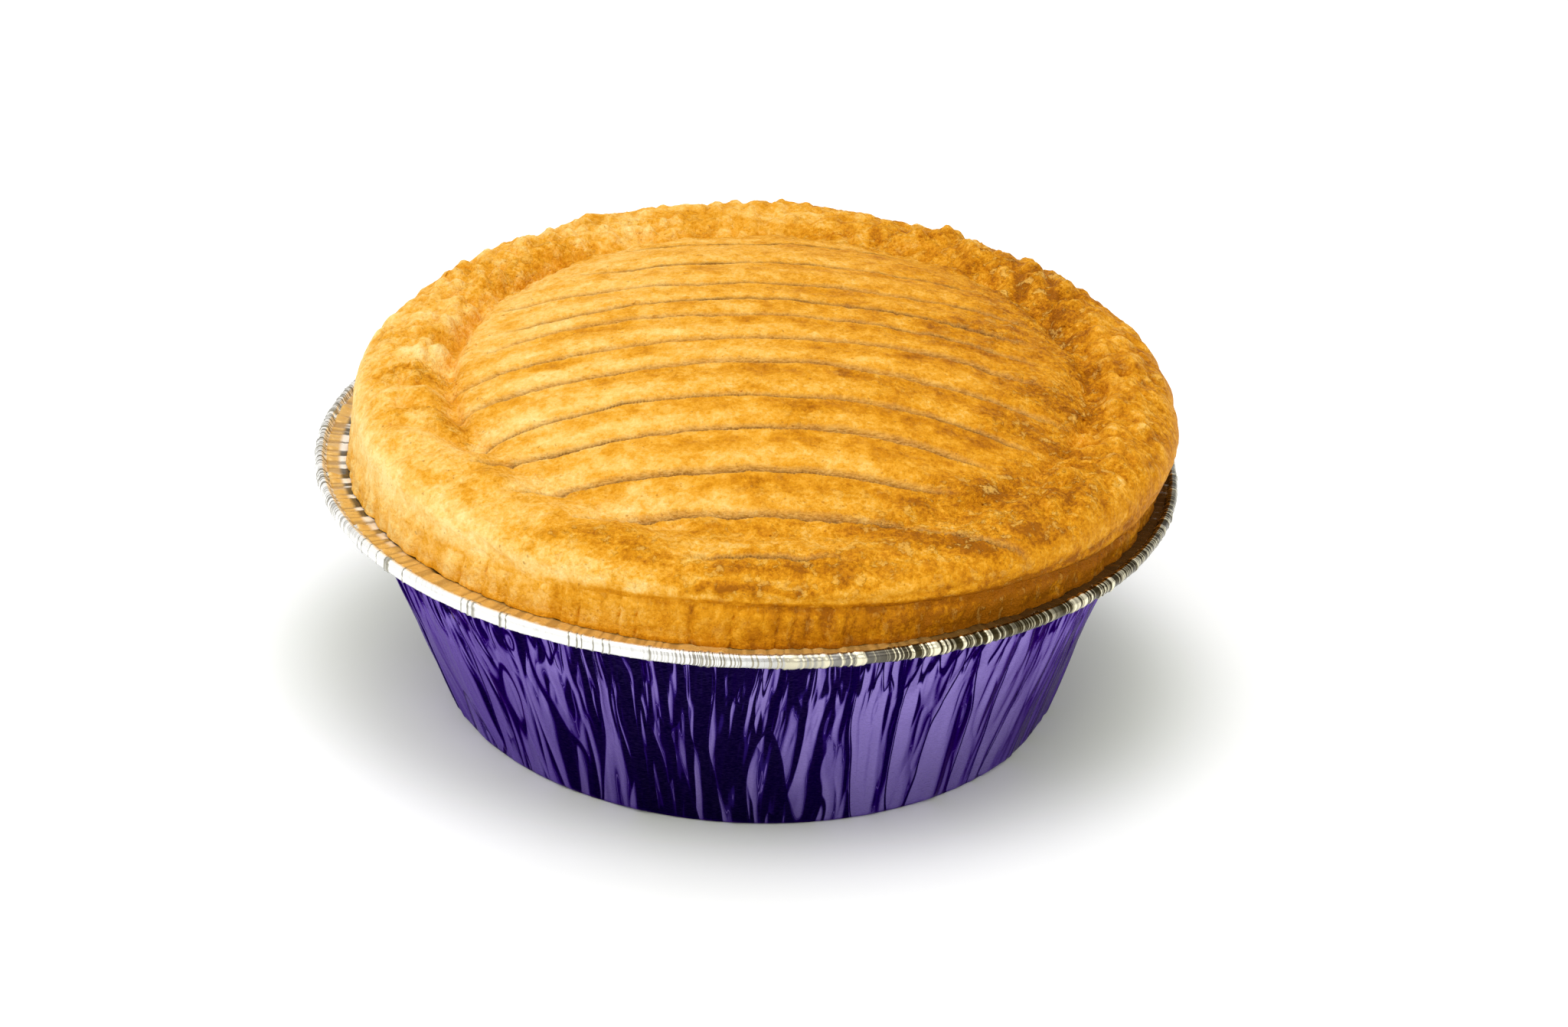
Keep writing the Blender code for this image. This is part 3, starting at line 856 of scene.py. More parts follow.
# %% Make the case
FOIL = 0.5
FIT_GAP = 0.3
BASE_RADIUS = 47.6
BASE_SHIFT = 1.5
WALL_TOP_RADIUS = 59.3
WALL_TOP = 34.4
LEDGE_HEIGHT = 36.7
WALL_CLEARANCE = 1.3
CASE_SIDES = 1140
SHOWN_RINGS = 20


def wall_radius(height):
    """Radius of the tin's outer wall before it is crumpled."""
    return BASE_RADIUS + (WALL_TOP_RADIUS - BASE_RADIUS) * height / WALL_TOP


def build_case():
    turn = full_turn(CASE_SIDES)
    case = Growing(CRUST_FIELDS)
    hidden = [
        (BASE_RADIUS - 2.7, FOIL + FIT_GAP, BASE_SHIFT),
        (wall_radius(2) - WALL_CLEARANCE - 0.4, 2.0, BASE_SHIFT),
        (WALL_TOP_RADIUS - WALL_CLEARANCE, WALL_TOP, 0),
        (WALL_TOP_RADIUS - 0.8, FOOT_HEIGHT, FOOT_CENTRE[0]),
    ]
    rings = []
    for radius, height, shift in hidden:
        x, y = radius * np.cos(turn) + shift, radius * np.sin(turn)
        rings.append(case.add(x, y, height, {"brown": 0.3}))
    seam = crease_at(turn, 1)
    for share in np.linspace(0, 1, SHOWN_RINGS):
        z = FOOT_HEIGHT + (seam - FOOT_HEIGHT) * share
        x, y, fields = side_rings(turn, z)
        rings.append(case.add(x, y, z, fields))
    rings.append(case.add(x - SEAM_INSET * np.cos(turn), y - SEAM_INSET * np.sin(turn), z, fields))
    case.join(rings)
    case.close(rings[0], (BASE_SHIFT, 0), FOIL + FIT_GAP, True)
    case.close(rings[-1], LID_CENTRE, float(seam.mean()), False)
    return case.make("crust_case")


crust_case = build_case()
print("the case has", triangles(crust_case), "triangles")

# %% [markdown]
# ## The foil tin
#
# A tin like this is one disc of foil pressed between two dies. The spare foil gathers in
# upright pleats, narrow at the top and merging into broad folds lower down, and the edge
# is rolled into a bead. Two thin shells stand for the two sides of the foil: a purple
# one outside, and a bare one that has the inside, the ledge and the bead.
# Both start as smooth turned shells. One Geometry Nodes tree then crumples each of them.
# Noise that is stretched upright and folded at its middle value gives long tapering folds
# with a sharp crease between them, in three sizes.

# %% Smooth shells
RIM_RADIUS = 65.0
TIN_HEIGHT = 37.7
BEAD_WIDTH = 1.5
BEAD_HEIGHT = 2.05
BEAD_FOOT = RIM_RADIUS - BEAD_WIDTH - 0.3
LEDGE_TURN = WALL_TOP_RADIUS + 1.3
FOOT_ROUND = 0.9
PURPLE_THICK = 0.16
BARE_FLOOR = 0.22
BARE_INSET = 0.26


def spread(start, end, count):
    """Points from start up to, but not including, end."""
    start, end = np.array(start), np.array(end)
    return [tuple(start + (end - start) * step / count) for step in range(count)]


def turned_shell(name, profile, sides):
    """A closed shell turned about the upright axis, from (radius, height) points."""
    turn = full_turn(sides)
    shell = Growing(())
    rings = []
    for radius, height in profile[1:-1]:
        shift = BASE_SHIFT * (1 - min(height / WALL_TOP, 1))
        rings.append(shell.add(radius * np.cos(turn) + shift, radius * np.sin(turn), height, {}))
    shell.join(rings)
    shell.close(rings[0], (BASE_SHIFT, 0), profile[0][1], True)
    shell.close(rings[-1], (BASE_SHIFT, 0), profile[-1][1], False)
    return shell.make(name)


def purple_profile():
    under = LEDGE_HEIGHT - FOIL
    corner = (LEDGE_TURN, under - 0.05)
    profile = [(0, 0), (BASE_RADIUS - 6, 0), (BASE_RADIUS - FOOT_ROUND, 0), (BASE_RADIUS - 0.25, 0.25)]
    profile += spread((wall_radius(FOOT_ROUND), FOOT_ROUND), (wall_radius(WALL_TOP), WALL_TOP), 44)
    profile += spread((WALL_TOP_RADIUS, WALL_TOP), corner, 3)
    profile += spread(corner, (BEAD_FOOT, under), 3)
    profile += [(BEAD_FOOT, under + 0.12), (LEDGE_TURN - 0.1, under + 0.1)]
    profile += [(WALL_TOP_RADIUS - 0.15, WALL_TOP + 0.1)]
    profile += [(wall_radius(height) - 0.18, height) for height in (22, 11, 1.0)]
    profile += [(BASE_RADIUS - 0.95, PURPLE_THICK), (0, PURPLE_THICK)]
    return profile


def bare_profile():
    under = LEDGE_HEIGHT - FOIL + BARE_FLOOR
    bead_middle = RIM_RADIUS - BEAD_WIDTH / 2
    profile = [(0, BARE_FLOOR), (BASE_RADIUS - 1.1, BARE_FLOOR)]
    profile += [(wall_radius(height) - BARE_INSET, height) for height in (1.1, 11, 22)]
    profile += [(WALL_TOP_RADIUS - 0.25, WALL_TOP + 0.15), (WALL_TOP_RADIUS + 1.1, under)]
    profile += [(BEAD_FOOT, under)]
    for degrees in range(-150, 151, 25):
        turn = math.radians(degrees)
        height = TIN_HEIGHT - BEAD_HEIGHT / 2 + BEAD_HEIGHT / 2 * math.sin(turn)
        profile.append((bead_middle + BEAD_WIDTH / 2 * math.cos(turn), height))
    ledge_end = (RIM_RADIUS - BEAD_WIDTH - 0.25, LEDGE_HEIGHT)
    shoulder = (WALL_TOP_RADIUS + 1.1, LEDGE_HEIGHT)
    lip = (WALL_TOP_RADIUS, LEDGE_HEIGHT - 0.6)
    profile += spread(ledge_end, shoulder, 7)
    profile += spread(shoulder, lip, 4)
    profile += spread(lip, (WALL_TOP_RADIUS - FOIL, WALL_TOP), 4)
    profile += [(wall_radius(height) - FOIL, height) for height in (34.0, 31, 26, 18, 10, 1.3)]
    profile += [(BASE_RADIUS - 1.5, FOIL), (0, FOIL)]
    return profile


foil_wall = turned_shell("foil_wall", purple_profile(), 1260)
foil_rim = turned_shell("foil_rim", bare_profile(), 1560)
print("smooth shells:", triangles(foil_wall), "and", triangles(foil_rim), "triangles")


# %% Folds of the wall
# Each size of fold: width, length, depth and the share of it that is left at the foot.
FOLDS = [
    (7.0 * MM, 55 * MM, 3.0 * MM, 1.0),
    (3.1 * MM, 30 * MM, 1.5 * MM, 0.8),
    (1.5 * MM, 10 * MM, 0.9 * MM, 0.1),
]
FOLD_MEAN = 0.6 * MM
FOLD_SEED_STEP = 7.3
FOLDS_LOW = 13 * MM
FOLDS_HIGH = 28 * MM
WALL_RING = 56 * MM
WALL_LEAN = 11 * MM
WALL_SEED = 11.0
LEAN_SCALE = (38.0, 38.0, 22.0)


def on_ring(sheet, place, ring_radius, lean):
    """The place moved out to one radius, then pushed about so that upright lines lean."""
    _, _, height = sheet.split(place)
    flat = sheet.vector("MULTIPLY", place, (1.0, 1.0, 0.0))
    outward = sheet.vector("NORMALIZE", flat, (0.0, 0.0, 0.0))
    ring = sheet.vector("MULTIPLY", outward, sheet.join(ring_radius, ring_radius, 0.0))
    ring = sheet.vector("ADD", ring, sheet.join(0.0, 0.0, height))
    slow = sheet.vector("MULTIPLY", ring, LEAN_SCALE)
    push = sheet.noise(slow, 1.0, 1.5).also("Color")
    push = sheet.vector("SUBTRACT", push, (0.5, 0.5, 0.5))
    push = sheet.vector("MULTIPLY", push, sheet.join(lean, lean, 0.0))
    return sheet.vector("ADD", ring, push), outward, height


def along_ring(sheet, outward):
    """The direction round the tin."""
    x, y, _ = sheet.split(outward)
    return sheet.join(0 - y, x, 0.0)


def stretched_noise(sheet, place, width, length, seed):
    """Noise in upright streaks, one to each width and length."""
    scaled = sheet.vector("MULTIPLY", place, sheet.join(1 / width, 1 / width, 1 / length))
    moved = sheet.vector("ADD", scaled, sheet.join(seed, seed * 0.7, 0.0))
    return sheet.noise(moved, 1.0, 0.8, 0.36)


def fold_rise(sheet, place, height, folds, seed):
    """How far the folds push the foil out, and a measure of how near the next crease is."""
    rise = 0.0
    crease = 1.0
    for number, (width, length, depth, foot_share) in enumerate(folds):
        folded = abs(stretched_noise(sheet, place, width, length, seed + FOLD_SEED_STEP * number) - 0.5)
        strength = sheet.ease(height, FOLDS_LOW, FOLDS_HIGH, foot_share, 1.0)
        rise = folded * depth * strength + rise
        crease = (folded * width + (1 - strength) * width).at_most(crease)
    return rise, crease


print("folds in", len(FOLDS), "sizes, the widest", round(FOLDS[0][0] / MM, 1), "mm wide")

# %% Wrinkles of the ledge and lines of the bead
LEDGE_START = 60.3 * MM
BEAD_START = 63.3 * MM
WRINKLE_WIDTH = 2.2 * MM
WRINKLES_GROW = (61.5 * MM, 63.2 * MM)
CRIMP_WIDTH = 1.5 * MM
CRIMP_BOW = 0.35 * MM
CRIMP_GROUP = 9 * MM
STREAK_WIDTH = 0.32 * MM


def crimp_lines(sheet, outward, height):
    """Curved cross lines of the bead: how close each point is to one, and a finer streak."""
    bow = (height - (TIN_HEIGHT - BEAD_HEIGHT / 2) * MM) / (BEAD_HEIGHT / 2 * MM)
    bow = bow * bow * CRIMP_BOW
    ring = sheet.vector("MULTIPLY", outward, (RIM_RADIUS * MM, RIM_RADIUS * MM, 0.0))
    push = sheet.vector("MULTIPLY", along_ring(sheet, outward), sheet.join(bow, bow, 0.0))
    ring = sheet.vector("ADD", ring, push)
    line = 1 - sheet.ease(abs(sheet.noise(ring, CRIMP_WIDTH, 0.0) - 0.5), 0.012, 0.06)
    groups = sheet.ease(sheet.noise(ring, CRIMP_GROUP, 1.0), 0.42, 0.52, 0.15, 1.0)
    streak = sheet.noise(ring, STREAK_WIDTH, 1.0)
    return line * groups, streak, ring


print("the bead starts", round(BEAD_START / MM, 1), "mm from the middle")

# %% The tree that crumples a shell
CRUMPLE_INPUTS = [
    ("Shell", "NodeSocketGeometry", None),
    ("Wall ring radius", "NodeSocketFloat", WALL_RING),
    ("Wall lean", "NodeSocketFloat", WALL_LEAN),
    ("Wall seed", "NodeSocketFloat", WALL_SEED),
    ("Mean rise", "NodeSocketFloat", FOLD_MEAN),
    ("Foot height", "NodeSocketFloat", 0.0),
    ("Ledge start", "NodeSocketFloat", LEDGE_START),
    ("Bead start", "NodeSocketFloat", BEAD_START),
    ("Crimp depth", "NodeSocketFloat", 0.16 * MM),
    ("Wrinkle width", "NodeSocketFloat", WRINKLE_WIDTH),
    ("Wrinkle depth", "NodeSocketFloat", 1.3 * MM),
    ("Finish", "NodeSocketMaterial", None),
]
FOLD_PARTS = ("width", "length", "depth", "share at foot")
for number, fold in enumerate(FOLDS):
    for part, value in zip(FOLD_PARTS, fold):
        CRUMPLE_INPUTS.append((f"Fold {number} {part}", "NodeSocketFloat", value))


def named_tree(name, inputs):
    """A Geometry Nodes tree with named inputs, their identifiers, its sheet and its input node."""
    tree = bpy.data.node_groups.new(name, "GeometryNodeTree")
    names = {}
    for title, kind, default in inputs:
        socket = tree.interface.new_socket(name=title, in_out="INPUT", socket_type=kind)
        names[title] = socket.identifier
        if default is not None:
            socket.default_value = default
    tree.interface.new_socket(name="Result", in_out="OUTPUT", socket_type="NodeSocketGeometry")
    sheet = Sheet(tree)
    return tree, names, sheet, sheet.node("NodeGroupInput")


def crumple_tree():
    """Push a shell in and out in long folds, and wrinkle its ledge and bead."""
    tree, names, sheet, given = named_tree("crumple foil", CRUMPLE_INPUTS)
    ask = given.also
    place = sheet.node("GeometryNodeInputPosition")

    bent, outward, height = on_ring(sheet, place, ask("Wall ring radius"), ask("Wall lean"))
    folds = [[ask(f"Fold {number} {part}") for part in FOLD_PARTS] for number in range(len(FOLDS))]
    rise, _ = fold_rise(sheet, bent, height, folds, ask("Wall seed"))
    foot = ask("Foot height")
    rise = (rise - ask("Mean rise")) * sheet.ease(height, foot, foot + 1.0 * MM)

    flat = sheet.vector("MULTIPLY", place, (1.0, 1.0, 0.0))
    radius = sheet.length(flat)
    line, streak, ring = crimp_lines(sheet, outward, height)
    wrinkle = abs(sheet.noise(ring, ask("Wrinkle width"), 1.0) - 0.5) * ask("Wrinkle depth")
    wrinkle = wrinkle * sheet.ease(radius, *WRINKLES_GROW, 0.7, 2.4)
    dents = (sheet.noise(ring, 4 * MM, 1.0) - 0.5) * ask("Crimp depth") * 1.5
    crimp = line * ask("Crimp depth") + (streak - 0.5) * ask("Crimp depth") + dents

    on_ledge = sheet.ease(radius, ask("Ledge start"), ask("Ledge start") + 0.8 * MM)
    on_ledge = on_ledge * sheet.ease(height, 33 * MM, 35.2 * MM)
    on_bead = sheet.ease(radius, ask("Bead start"), ask("Bead start") + 0.3 * MM)
    mix = {"data_type": "VECTOR"}
    way = sheet.node("ShaderNodeMix", mix, {0: on_ledge, 4: outward, 5: (0.0, 0.0, 1.0)}, 1)
    normal = sheet.node("GeometryNodeInputNormal")
    way = sheet.node("ShaderNodeMix", mix, {0: on_bead, 4: way, 5: normal}, 1)
    amount = rise * (1 - on_ledge) + wrinkle * on_ledge * (1 - on_bead) + crimp * on_bead
    push = sheet.scaled(way, amount)

    settings = {"data_type": "FLOAT_VECTOR", "domain": "POINT"}
    inputs = {"Geometry": given, "Name": "smooth_place", "Value": place}
    kept = sheet.node("GeometryNodeStoreNamedAttribute", settings, inputs)
    moved = sheet.node("GeometryNodeSetPosition", {}, {"Geometry": kept, "Offset": push})
    real = sheet.node("GeometryNodeRealizeInstances", {}, {"Geometry": moved})
    done = sheet.node("GeometryNodeSetMaterial", {}, {"Geometry": real, "Material": ask("Finish")})
    sheet.node("NodeGroupOutput", {}, {"Result": done}, None)
    return tree, names


def apply_tree(piece, tree, names, values):
    """Run a Geometry Nodes tree on a piece and keep the result as its plain mesh."""
    modifier = piece.modifiers.new("shape", "NODES")
    modifier.node_group = tree
    for name, value in values.items():
        modifier[names[name]] = value
    shown = piece.evaluated_get(bpy.context.evaluated_depsgraph_get())
    mesh = bpy.data.meshes.new_from_object(shown)
    piece.modifiers.clear()
    old = piece.data
    piece.data = mesh
    bpy.data.meshes.remove(old)
    mesh.name = piece.name


print(len(CRUMPLE_INPUTS), "named inputs")

# %% [markdown]
# ## Foil finishes
#
# Foil is a mirror, so nearly all of its look is what it reflects. Crumpled foil shows
# hard-edged streaks of bright and dark, because each side of a fold mirrors another part
# of the room. Soft studio light alone hides that, so the streaks are painted into the
# lacquer's colour as painted reflections, set by the slope of the same folds that shaped
# the mesh: the height of the folds is read twice, a little apart, and the difference picks
# a colour from a ramp. A narrow bright stop in the ramp paints the thin highlight lines that
# run beside the dark ones. Wide zones round the tin are painted lighter or darker as if they
# mirrored a brighter or darker side, and a painted dark line follows each crease. The bead
# and the ledge of the inner shell carry painted reflections and painted shade too.


# %% Purple foil
def new_finish(name):
    """A material with an empty node sheet."""
    made = bpy.data.materials.new(name)
    made.use_nodes = True
    return made, Sheet(made.node_tree)


def close_finish(sheet, inputs):
    """The shader at the end of a finish, with what goes into its sockets."""
    shader = sheet.node("ShaderNodeBsdfPrincipled", {}, inputs)
    sheet.node("ShaderNodeOutputMaterial", {}, {"Surface": shader}, None)


# Colours of the painted reflections in the lacquer, from the darkest fold to the palest; the narrow
# stop at 0.458 paints a thin highlight line.
PURPLE_REFLECTION_STOPS = [
    (0.0, srgb(3, 0, 30)),
    (0.28, srgb(8, 1, 42)),
    (0.36, srgb(30, 14, 84)),
    (0.44, srgb(40, 22, 100)),
    (0.458, srgb(128, 104, 186)),
    (0.476, srgb(30, 14, 84)),
    (0.51, srgb(58, 38, 116)),
    (0.6, srgb(108, 90, 160)),
    (0.74, srgb(122, 104, 174)),
    (1.0, srgb(140, 122, 190)),
]
# Painted reflection, where the wall is made lighter or darker as if it mirrored a brighter or darker
# side: azimuth, half width in degrees, change.
PURPLE_REFLECTION_ZONES = [(-152, 48, 0.25), (-56, 26, 0.16), (0, 48, -0.16), (-87, 22, -0.13)]
PURPLE_LEVEL = 0.56
CREASE_SHADE_TONE = 0.26
CREASE_LINE = (0.025 * MM, 0.11 * MM)
SLOW_STREAKS = (7 * MM, 40 * MM, 21.0)
BRUSH_SIZE = 0.6 * MM
SLOPE_STEP = 0.3 * MM
SLOPE_GAIN = 2.3
ZONE_TURN = math.radians(-9)
ZONE_GAIN = 0.3
FULL_SHARE = 0.45


def facing(sheet, outward, degrees, half_width):
    """How far each point of the tin faces an azimuth: 0 at the half width, 1 close to it."""
    turn = math.radians(degrees)
    towards = sheet.vector("DOT_PRODUCT", outward, (math.cos(turn), math.sin(turn), 0.0), 1)
    none, full = math.cos(math.radians(half_width)), math.cos(math.radians(half_width * FULL_SHARE))
    return sheet.ease(towards, none, full)


def purple_finish():
    made, sheet = new_finish("purple foil with painted reflections")
    place = sheet.field("smooth_place", "Vector")
    bent, outward, height = on_ring(sheet, place, WALL_RING, WALL_LEAN)
    step = sheet.vector("MULTIPLY", along_ring(sheet, outward), (SLOPE_STEP, SLOPE_STEP, 0.0))
    here, crease = fold_rise(sheet, bent, height, FOLDS, WALL_SEED)
    beside, _ = fold_rise(sheet, sheet.vector("ADD", bent, step), height, FOLDS, WALL_SEED)
    slope = (beside - here) / SLOPE_STEP
    x, y, _ = sheet.split(outward)
    # Painted reflection: four wide zones round the tin, lighter and darker, with slow streaks across
    # them.
    across = x * math.cos(ZONE_TURN) + y * math.sin(ZONE_TURN)
    reflection_zone = 8 * (across * across) * (across * across) - 8 * (across * across) + 1
    slow = stretched_noise(sheet, bent, *SLOW_STREAKS)
    level = PURPLE_LEVEL
    for azimuth, half_width, change in PURPLE_REFLECTION_ZONES:
        level = facing(sheet, outward, azimuth, half_width) * change + level
    reflection_tone = level + slope * SLOPE_GAIN - reflection_zone * ZONE_GAIN + (slow - 0.5) * 0.5
    # Painted shade: a dark line along each crease.
    line = 1 - sheet.ease(crease, *CREASE_LINE)
    reflection_tone = reflection_tone + line * (CREASE_SHADE_TONE - reflection_tone)
    colour = sheet.ramp(reflection_tone, PURPLE_REFLECTION_STOPS)
    brushed = sheet.noise(sheet.vector("MULTIPLY", place, (1.0, 1.0, 7.0)), BRUSH_SIZE, 1.0)
    colour = sheet.blend(sheet.ease(brushed, 0.35, 0.75, 0.0, 0.16), colour, srgb(70, 56, 120))
    close_finish(sheet, {
        "Base Color": colour,
        "Roughness": sheet.ease(brushed, 0.3, 0.7, 0.2, 0.3),
        "Metallic": 1.0,
        "Specular Tint": srgb(190, 170, 235),
        "Normal": sheet.bump(brushed, 0.05, 0.1 * MM),
    })
    return made


purple_foil = purple_finish()
print(purple_foil.name, "has", len(PURPLE_REFLECTION_STOPS), "colours")


# %% Bare foil
# Azimuth and half width in degrees of each zone of painted reflection and painted shade on the bead and
# the ledge.
DENSE_ZONES = [(-80, 24), (-20, 42), (182, 36)]
DARK_BEAD_ZONE = (-38, 60)
DARK_LEDGE_ZONE = (-22, 58)
BARRED_ZONE = (184, 40)


def bare_finish():
    made, sheet = new_finish("bare foil with painted reflections and shade")
    place = sheet.field("smooth_place", "Vector")
    flat = sheet.vector("MULTIPLY", place, (1.0, 1.0, 0.0))
    outward = sheet.vector("NORMALIZE", flat, (0.0, 0.0, 0.0))
    radius = sheet.length(flat)
    _, _, height = sheet.split(place)
    line, streak, ring = crimp_lines(sheet, outward, height)
    # Painted reflection: the bead is white where it faces the bright left and dark olive where it faces
    # the shade on the right, with painted bright crimp lines there and dense painted stripes at the
    # front.
    dense = 0.0
    for reflection_zone in DENSE_ZONES:
        dense = facing(sheet, outward, *reflection_zone) + dense
    dense = dense.at_most(1.0)
    shade = facing(sheet, outward, *DARK_BEAD_ZONE)
    body = sheet.blend(shade, (0.98, 0.98, 0.96, 1.0), srgb(58, 50, 30))
    mark = sheet.blend(shade, srgb(150, 146, 130), srgb(246, 238, 208))
    stripes = sheet.ease(streak - shade * 0.07, 0.48, 0.55)
    stripe = sheet.blend(shade, srgb(96, 84, 56), srgb(214, 206, 176))
    body = sheet.blend(dense * stripes * 0.85, body, stripe)
    bead = sheet.blend(line, body, mark)

    # Painted reflection and shade on the ledge: the golden tan of the crust that it mirrors, darker in
    # its wrinkles, near black where it faces the shade on the right, and bright and dark bars at the
    # far left.
    wide = sheet.noise(ring, WRINKLE_WIDTH, 1.0)
    fold = 1 - sheet.ease(abs(wide - 0.5), 0.01, 0.09)
    fine = sheet.noise(place, BRUSH_SIZE, 2.0)
    ledge = sheet.blend(fine, srgb(206, 160, 78), srgb(234, 196, 116))
    ledge = sheet.blend(fold * 0.5, ledge, srgb(138, 98, 42))
    ledge = sheet.blend(facing(sheet, outward, *DARK_LEDGE_ZONE) * 0.95, ledge, srgb(62, 40, 18))
    inner = facing(sheet, outward, *BARRED_ZONE) * (1 - sheet.ease(radius, 61.0 * MM, 61.8 * MM))
    bars = sheet.blend(sheet.ease(wide, 0.46, 0.54), srgb(90, 80, 60), srgb(250, 248, 240))
    ledge = sheet.blend(inner, ledge, bars)
    on_bead = sheet.ease(radius, 63.2 * MM, 63.5 * MM)
    colour = sheet.blend(on_bead, ledge, bead)
    metal = 0.2 + on_bead * (0.4 + shade * 0.4)
    close_finish(sheet, {
        "Base Color": colour,
        "Roughness": sheet.ease(fine, 0.3, 0.7, 0.16, 0.28),
        "Metallic": metal,
        "Normal": sheet.bump(fine, 0.08, 0.1 * MM),
    })
    return made


bare_foil = bare_finish()
print("foil finishes:", purple_foil.name, "and", bare_foil.name)

# %% Crumple the tin
crumple, crumple_names = crumple_tree()
for foil, finish in ((foil_wall, purple_foil), (foil_rim, bare_foil)):
    apply_tree(foil, crumple, crumple_names, {"Finish": finish})
    print(foil.name, "has", triangles(foil), "triangles")

# %% [markdown]
# ## Baked pastry
#
# Pastry isn't one brown. The glaze is pale gold in the hollows, deeper on the crests, and
# dark in patches on the band and along the lips of the cuts. The cut faces stay a dull tan
# because no glaze reached them. Some of the brown is painted shade: the right side, the
# creases, a line along the foot of each cut and the side under the lid are made browner,
# and the left side paler. The masks that came with the mesh say where each of these
# is, and noise of several sizes breaks them up.


# %% Pastry finish
CRUST_STOPS = [
    (0.0, srgb(255, 226, 150)),
    (0.14, srgb(254, 211, 124)),
    (0.3, srgb(249, 192, 92)),
    (0.45, srgb(239, 171, 52)),
    (0.6, srgb(225, 152, 25)),
    (0.75, srgb(206, 132, 10)),
    (0.88, srgb(188, 116, 5)),
    (1.0, srgb(164, 96, 3)),
]

# One lump of each noise that mottles the crust.
PATCH_SIZE = 8 * MM
RAGGED_SIZE = 4.2 * MM
BLOTCH_SIZE = 2.7 * MM
CRUMB_SIZE = 1.7 * MM
RIFT_SIZE = 1.6 * MM
STROKE_SIZE = 1.5 * MM
FRECKLE_SIZE = 0.8 * MM
GRAIN_SIZE = 0.6 * MM
CUT_CRUMB_SIZE = 0.4 * MM


def crust_finish(name, level, across):
    """Baked pastry. Level is how brown it is all over, across stretches its mottles."""
    made, sheet = new_finish(name)
    place = sheet.node("ShaderNodeTexCoord").also("Object")
    x, _, _ = sheet.split(place)
    wide = sheet.vector("MULTIPLY", place, across)
    patches = sheet.noise(wide, PATCH_SIZE, 3.0, 0.55)
    blotches = sheet.noise(wide, BLOTCH_SIZE, 4.0, 0.62)
    grain = sheet.noise(place, GRAIN_SIZE, 3.0, 0.65)
    flaky = sheet.field("flaky")
    face = sheet.field("cut_face")
    # Painted shade: the crust is made browner towards the right, the side turned away from the light,
    # and its mottles grow stronger there.
    right = sheet.ease(x, -58 * MM, 62 * MM)
    strokes = sheet.noise(sheet.vector("MULTIPLY", place, (0.85, 1.1, 1.0)), STROKE_SIZE, 3.0, 0.6)
    ragged = sheet.ease(sheet.noise(wide, RAGGED_SIZE, 5.0, 0.7), 0.49, 0.58, -0.04, 0.06)
    mottled = (patches - 0.5) * 0.38 + (blotches - 0.5) * (0.38 + right * 0.32 + flaky * 0.35) + ragged
    mottled = mottled + (strokes - 0.5) * 0.42 + (grain - 0.5) * (0.45 + right * 0.2 + flaky * 0.4)
    toast = level + right * 0.4 + mottled + sheet.field("brown")
    rift = abs(sheet.noise(wide, RIFT_SIZE, 3.0, 0.65) - 0.5)
    rift = (1 - sheet.ease(rift, 0.0, 0.09)) * flaky
    crumbs = sheet.noise(wide, CRUMB_SIZE, 4.0, 0.65)
    toast = toast + rift * 0.06 + sheet.ease(crumbs, 0.44, 0.36, 0.0, 0.16) * flaky
    colour = sheet.ramp(toast, CRUST_STOPS)
    colour = sheet.blend(sheet.ease(crumbs, 0.56, 0.64) * flaky * 0.5, colour, srgb(250, 204, 104))
    freckles = sheet.ease(sheet.noise(place, FRECKLE_SIZE, 1.0), 0.7, 0.78)
    colour = sheet.blend(freckles * 0.45, colour, srgb(158, 90, 22))
    crumb = sheet.noise(sheet.vector("MULTIPLY", place, (0.6, 1.6, 1.6)), CUT_CRUMB_SIZE, 2.0)
    dull = sheet.ease(crumb + face * 0.35, 0.35, 0.95)
    bare = sheet.blend(dull, srgb(238, 190, 110), srgb(158, 114, 52))
    colour = sheet.blend((face * 1.1).at_most(0.9), colour, bare)
    # Painted shade: the dark line along the foot of each cut.
    colour = sheet.blend(sheet.field("cut_foot") * 0.92, colour, srgb(96, 56, 10))
    bump_height = blotches * 0.45 + strokes * 0.35 + grain * 0.68 + crumb * face * 0.8
    bump_height = bump_height + sheet.ease(crumbs, 0.52, 0.64) * flaky * 0.35 - rift * 0.15
    close_finish(sheet, {
        "Base Color": colour,
        "Roughness": sheet.ease(grain, 0.3, 0.7, 0.5, 0.68),
        "Coat Weight": sheet.ease(blotches, 0.35, 0.7, 0.0, 0.07) * (1 - face),
        "Coat Roughness": 0.35,
        "Specular IOR Level": 0.06,
        "Normal": sheet.bump(bump_height, 0.9, 0.75 * MM),
    })
    return made


golden_crust = crust_finish("golden crust", 0.27, (0.85, 1.05, 1.0))
pale_crust = crust_finish("pale crust", 0.24, (1.3, 1.3, 0.6))
crust_lid.data.materials.append(golden_crust)
crust_case.data.materials.append(pale_crust)
print("pastry finishes:", golden_crust.name, "and", pale_crust.name)

# %% [markdown]
# ## Loose flakes
#
# Puff pastry sheds small flakes. They lie thickest on the browned, broken parts of the
# band and along the cuts. Placing hundreds by hand is no use, so a Geometry Nodes tree
# scatters them: points fall on a copy of the lid as often as its masks say, a squashed
# ball of few faces goes on each, turned at random, and noise dents them.

# %% Scatter the flakes
FLAKE_INPUTS = [
    ("Lid", "NodeSocketGeometry", None),
    ("Flakes per square metre", "NodeSocketFloat", 120000.0),
    ("Seed", "NodeSocketInt", 7),
    ("Smallest", "NodeSocketVector", (0.2 * MM, 0.16 * MM, 0.07 * MM)),
    ("Largest", "NodeSocketVector", (0.6 * MM, 0.42 * MM, 0.2 * MM)),
    ("Dent size", "NodeSocketFloat", 0.5 * MM),
    ("Dent depth", "NodeSocketFloat", 0.35 * MM),
    ("Finish", "NodeSocketMaterial", None),
]


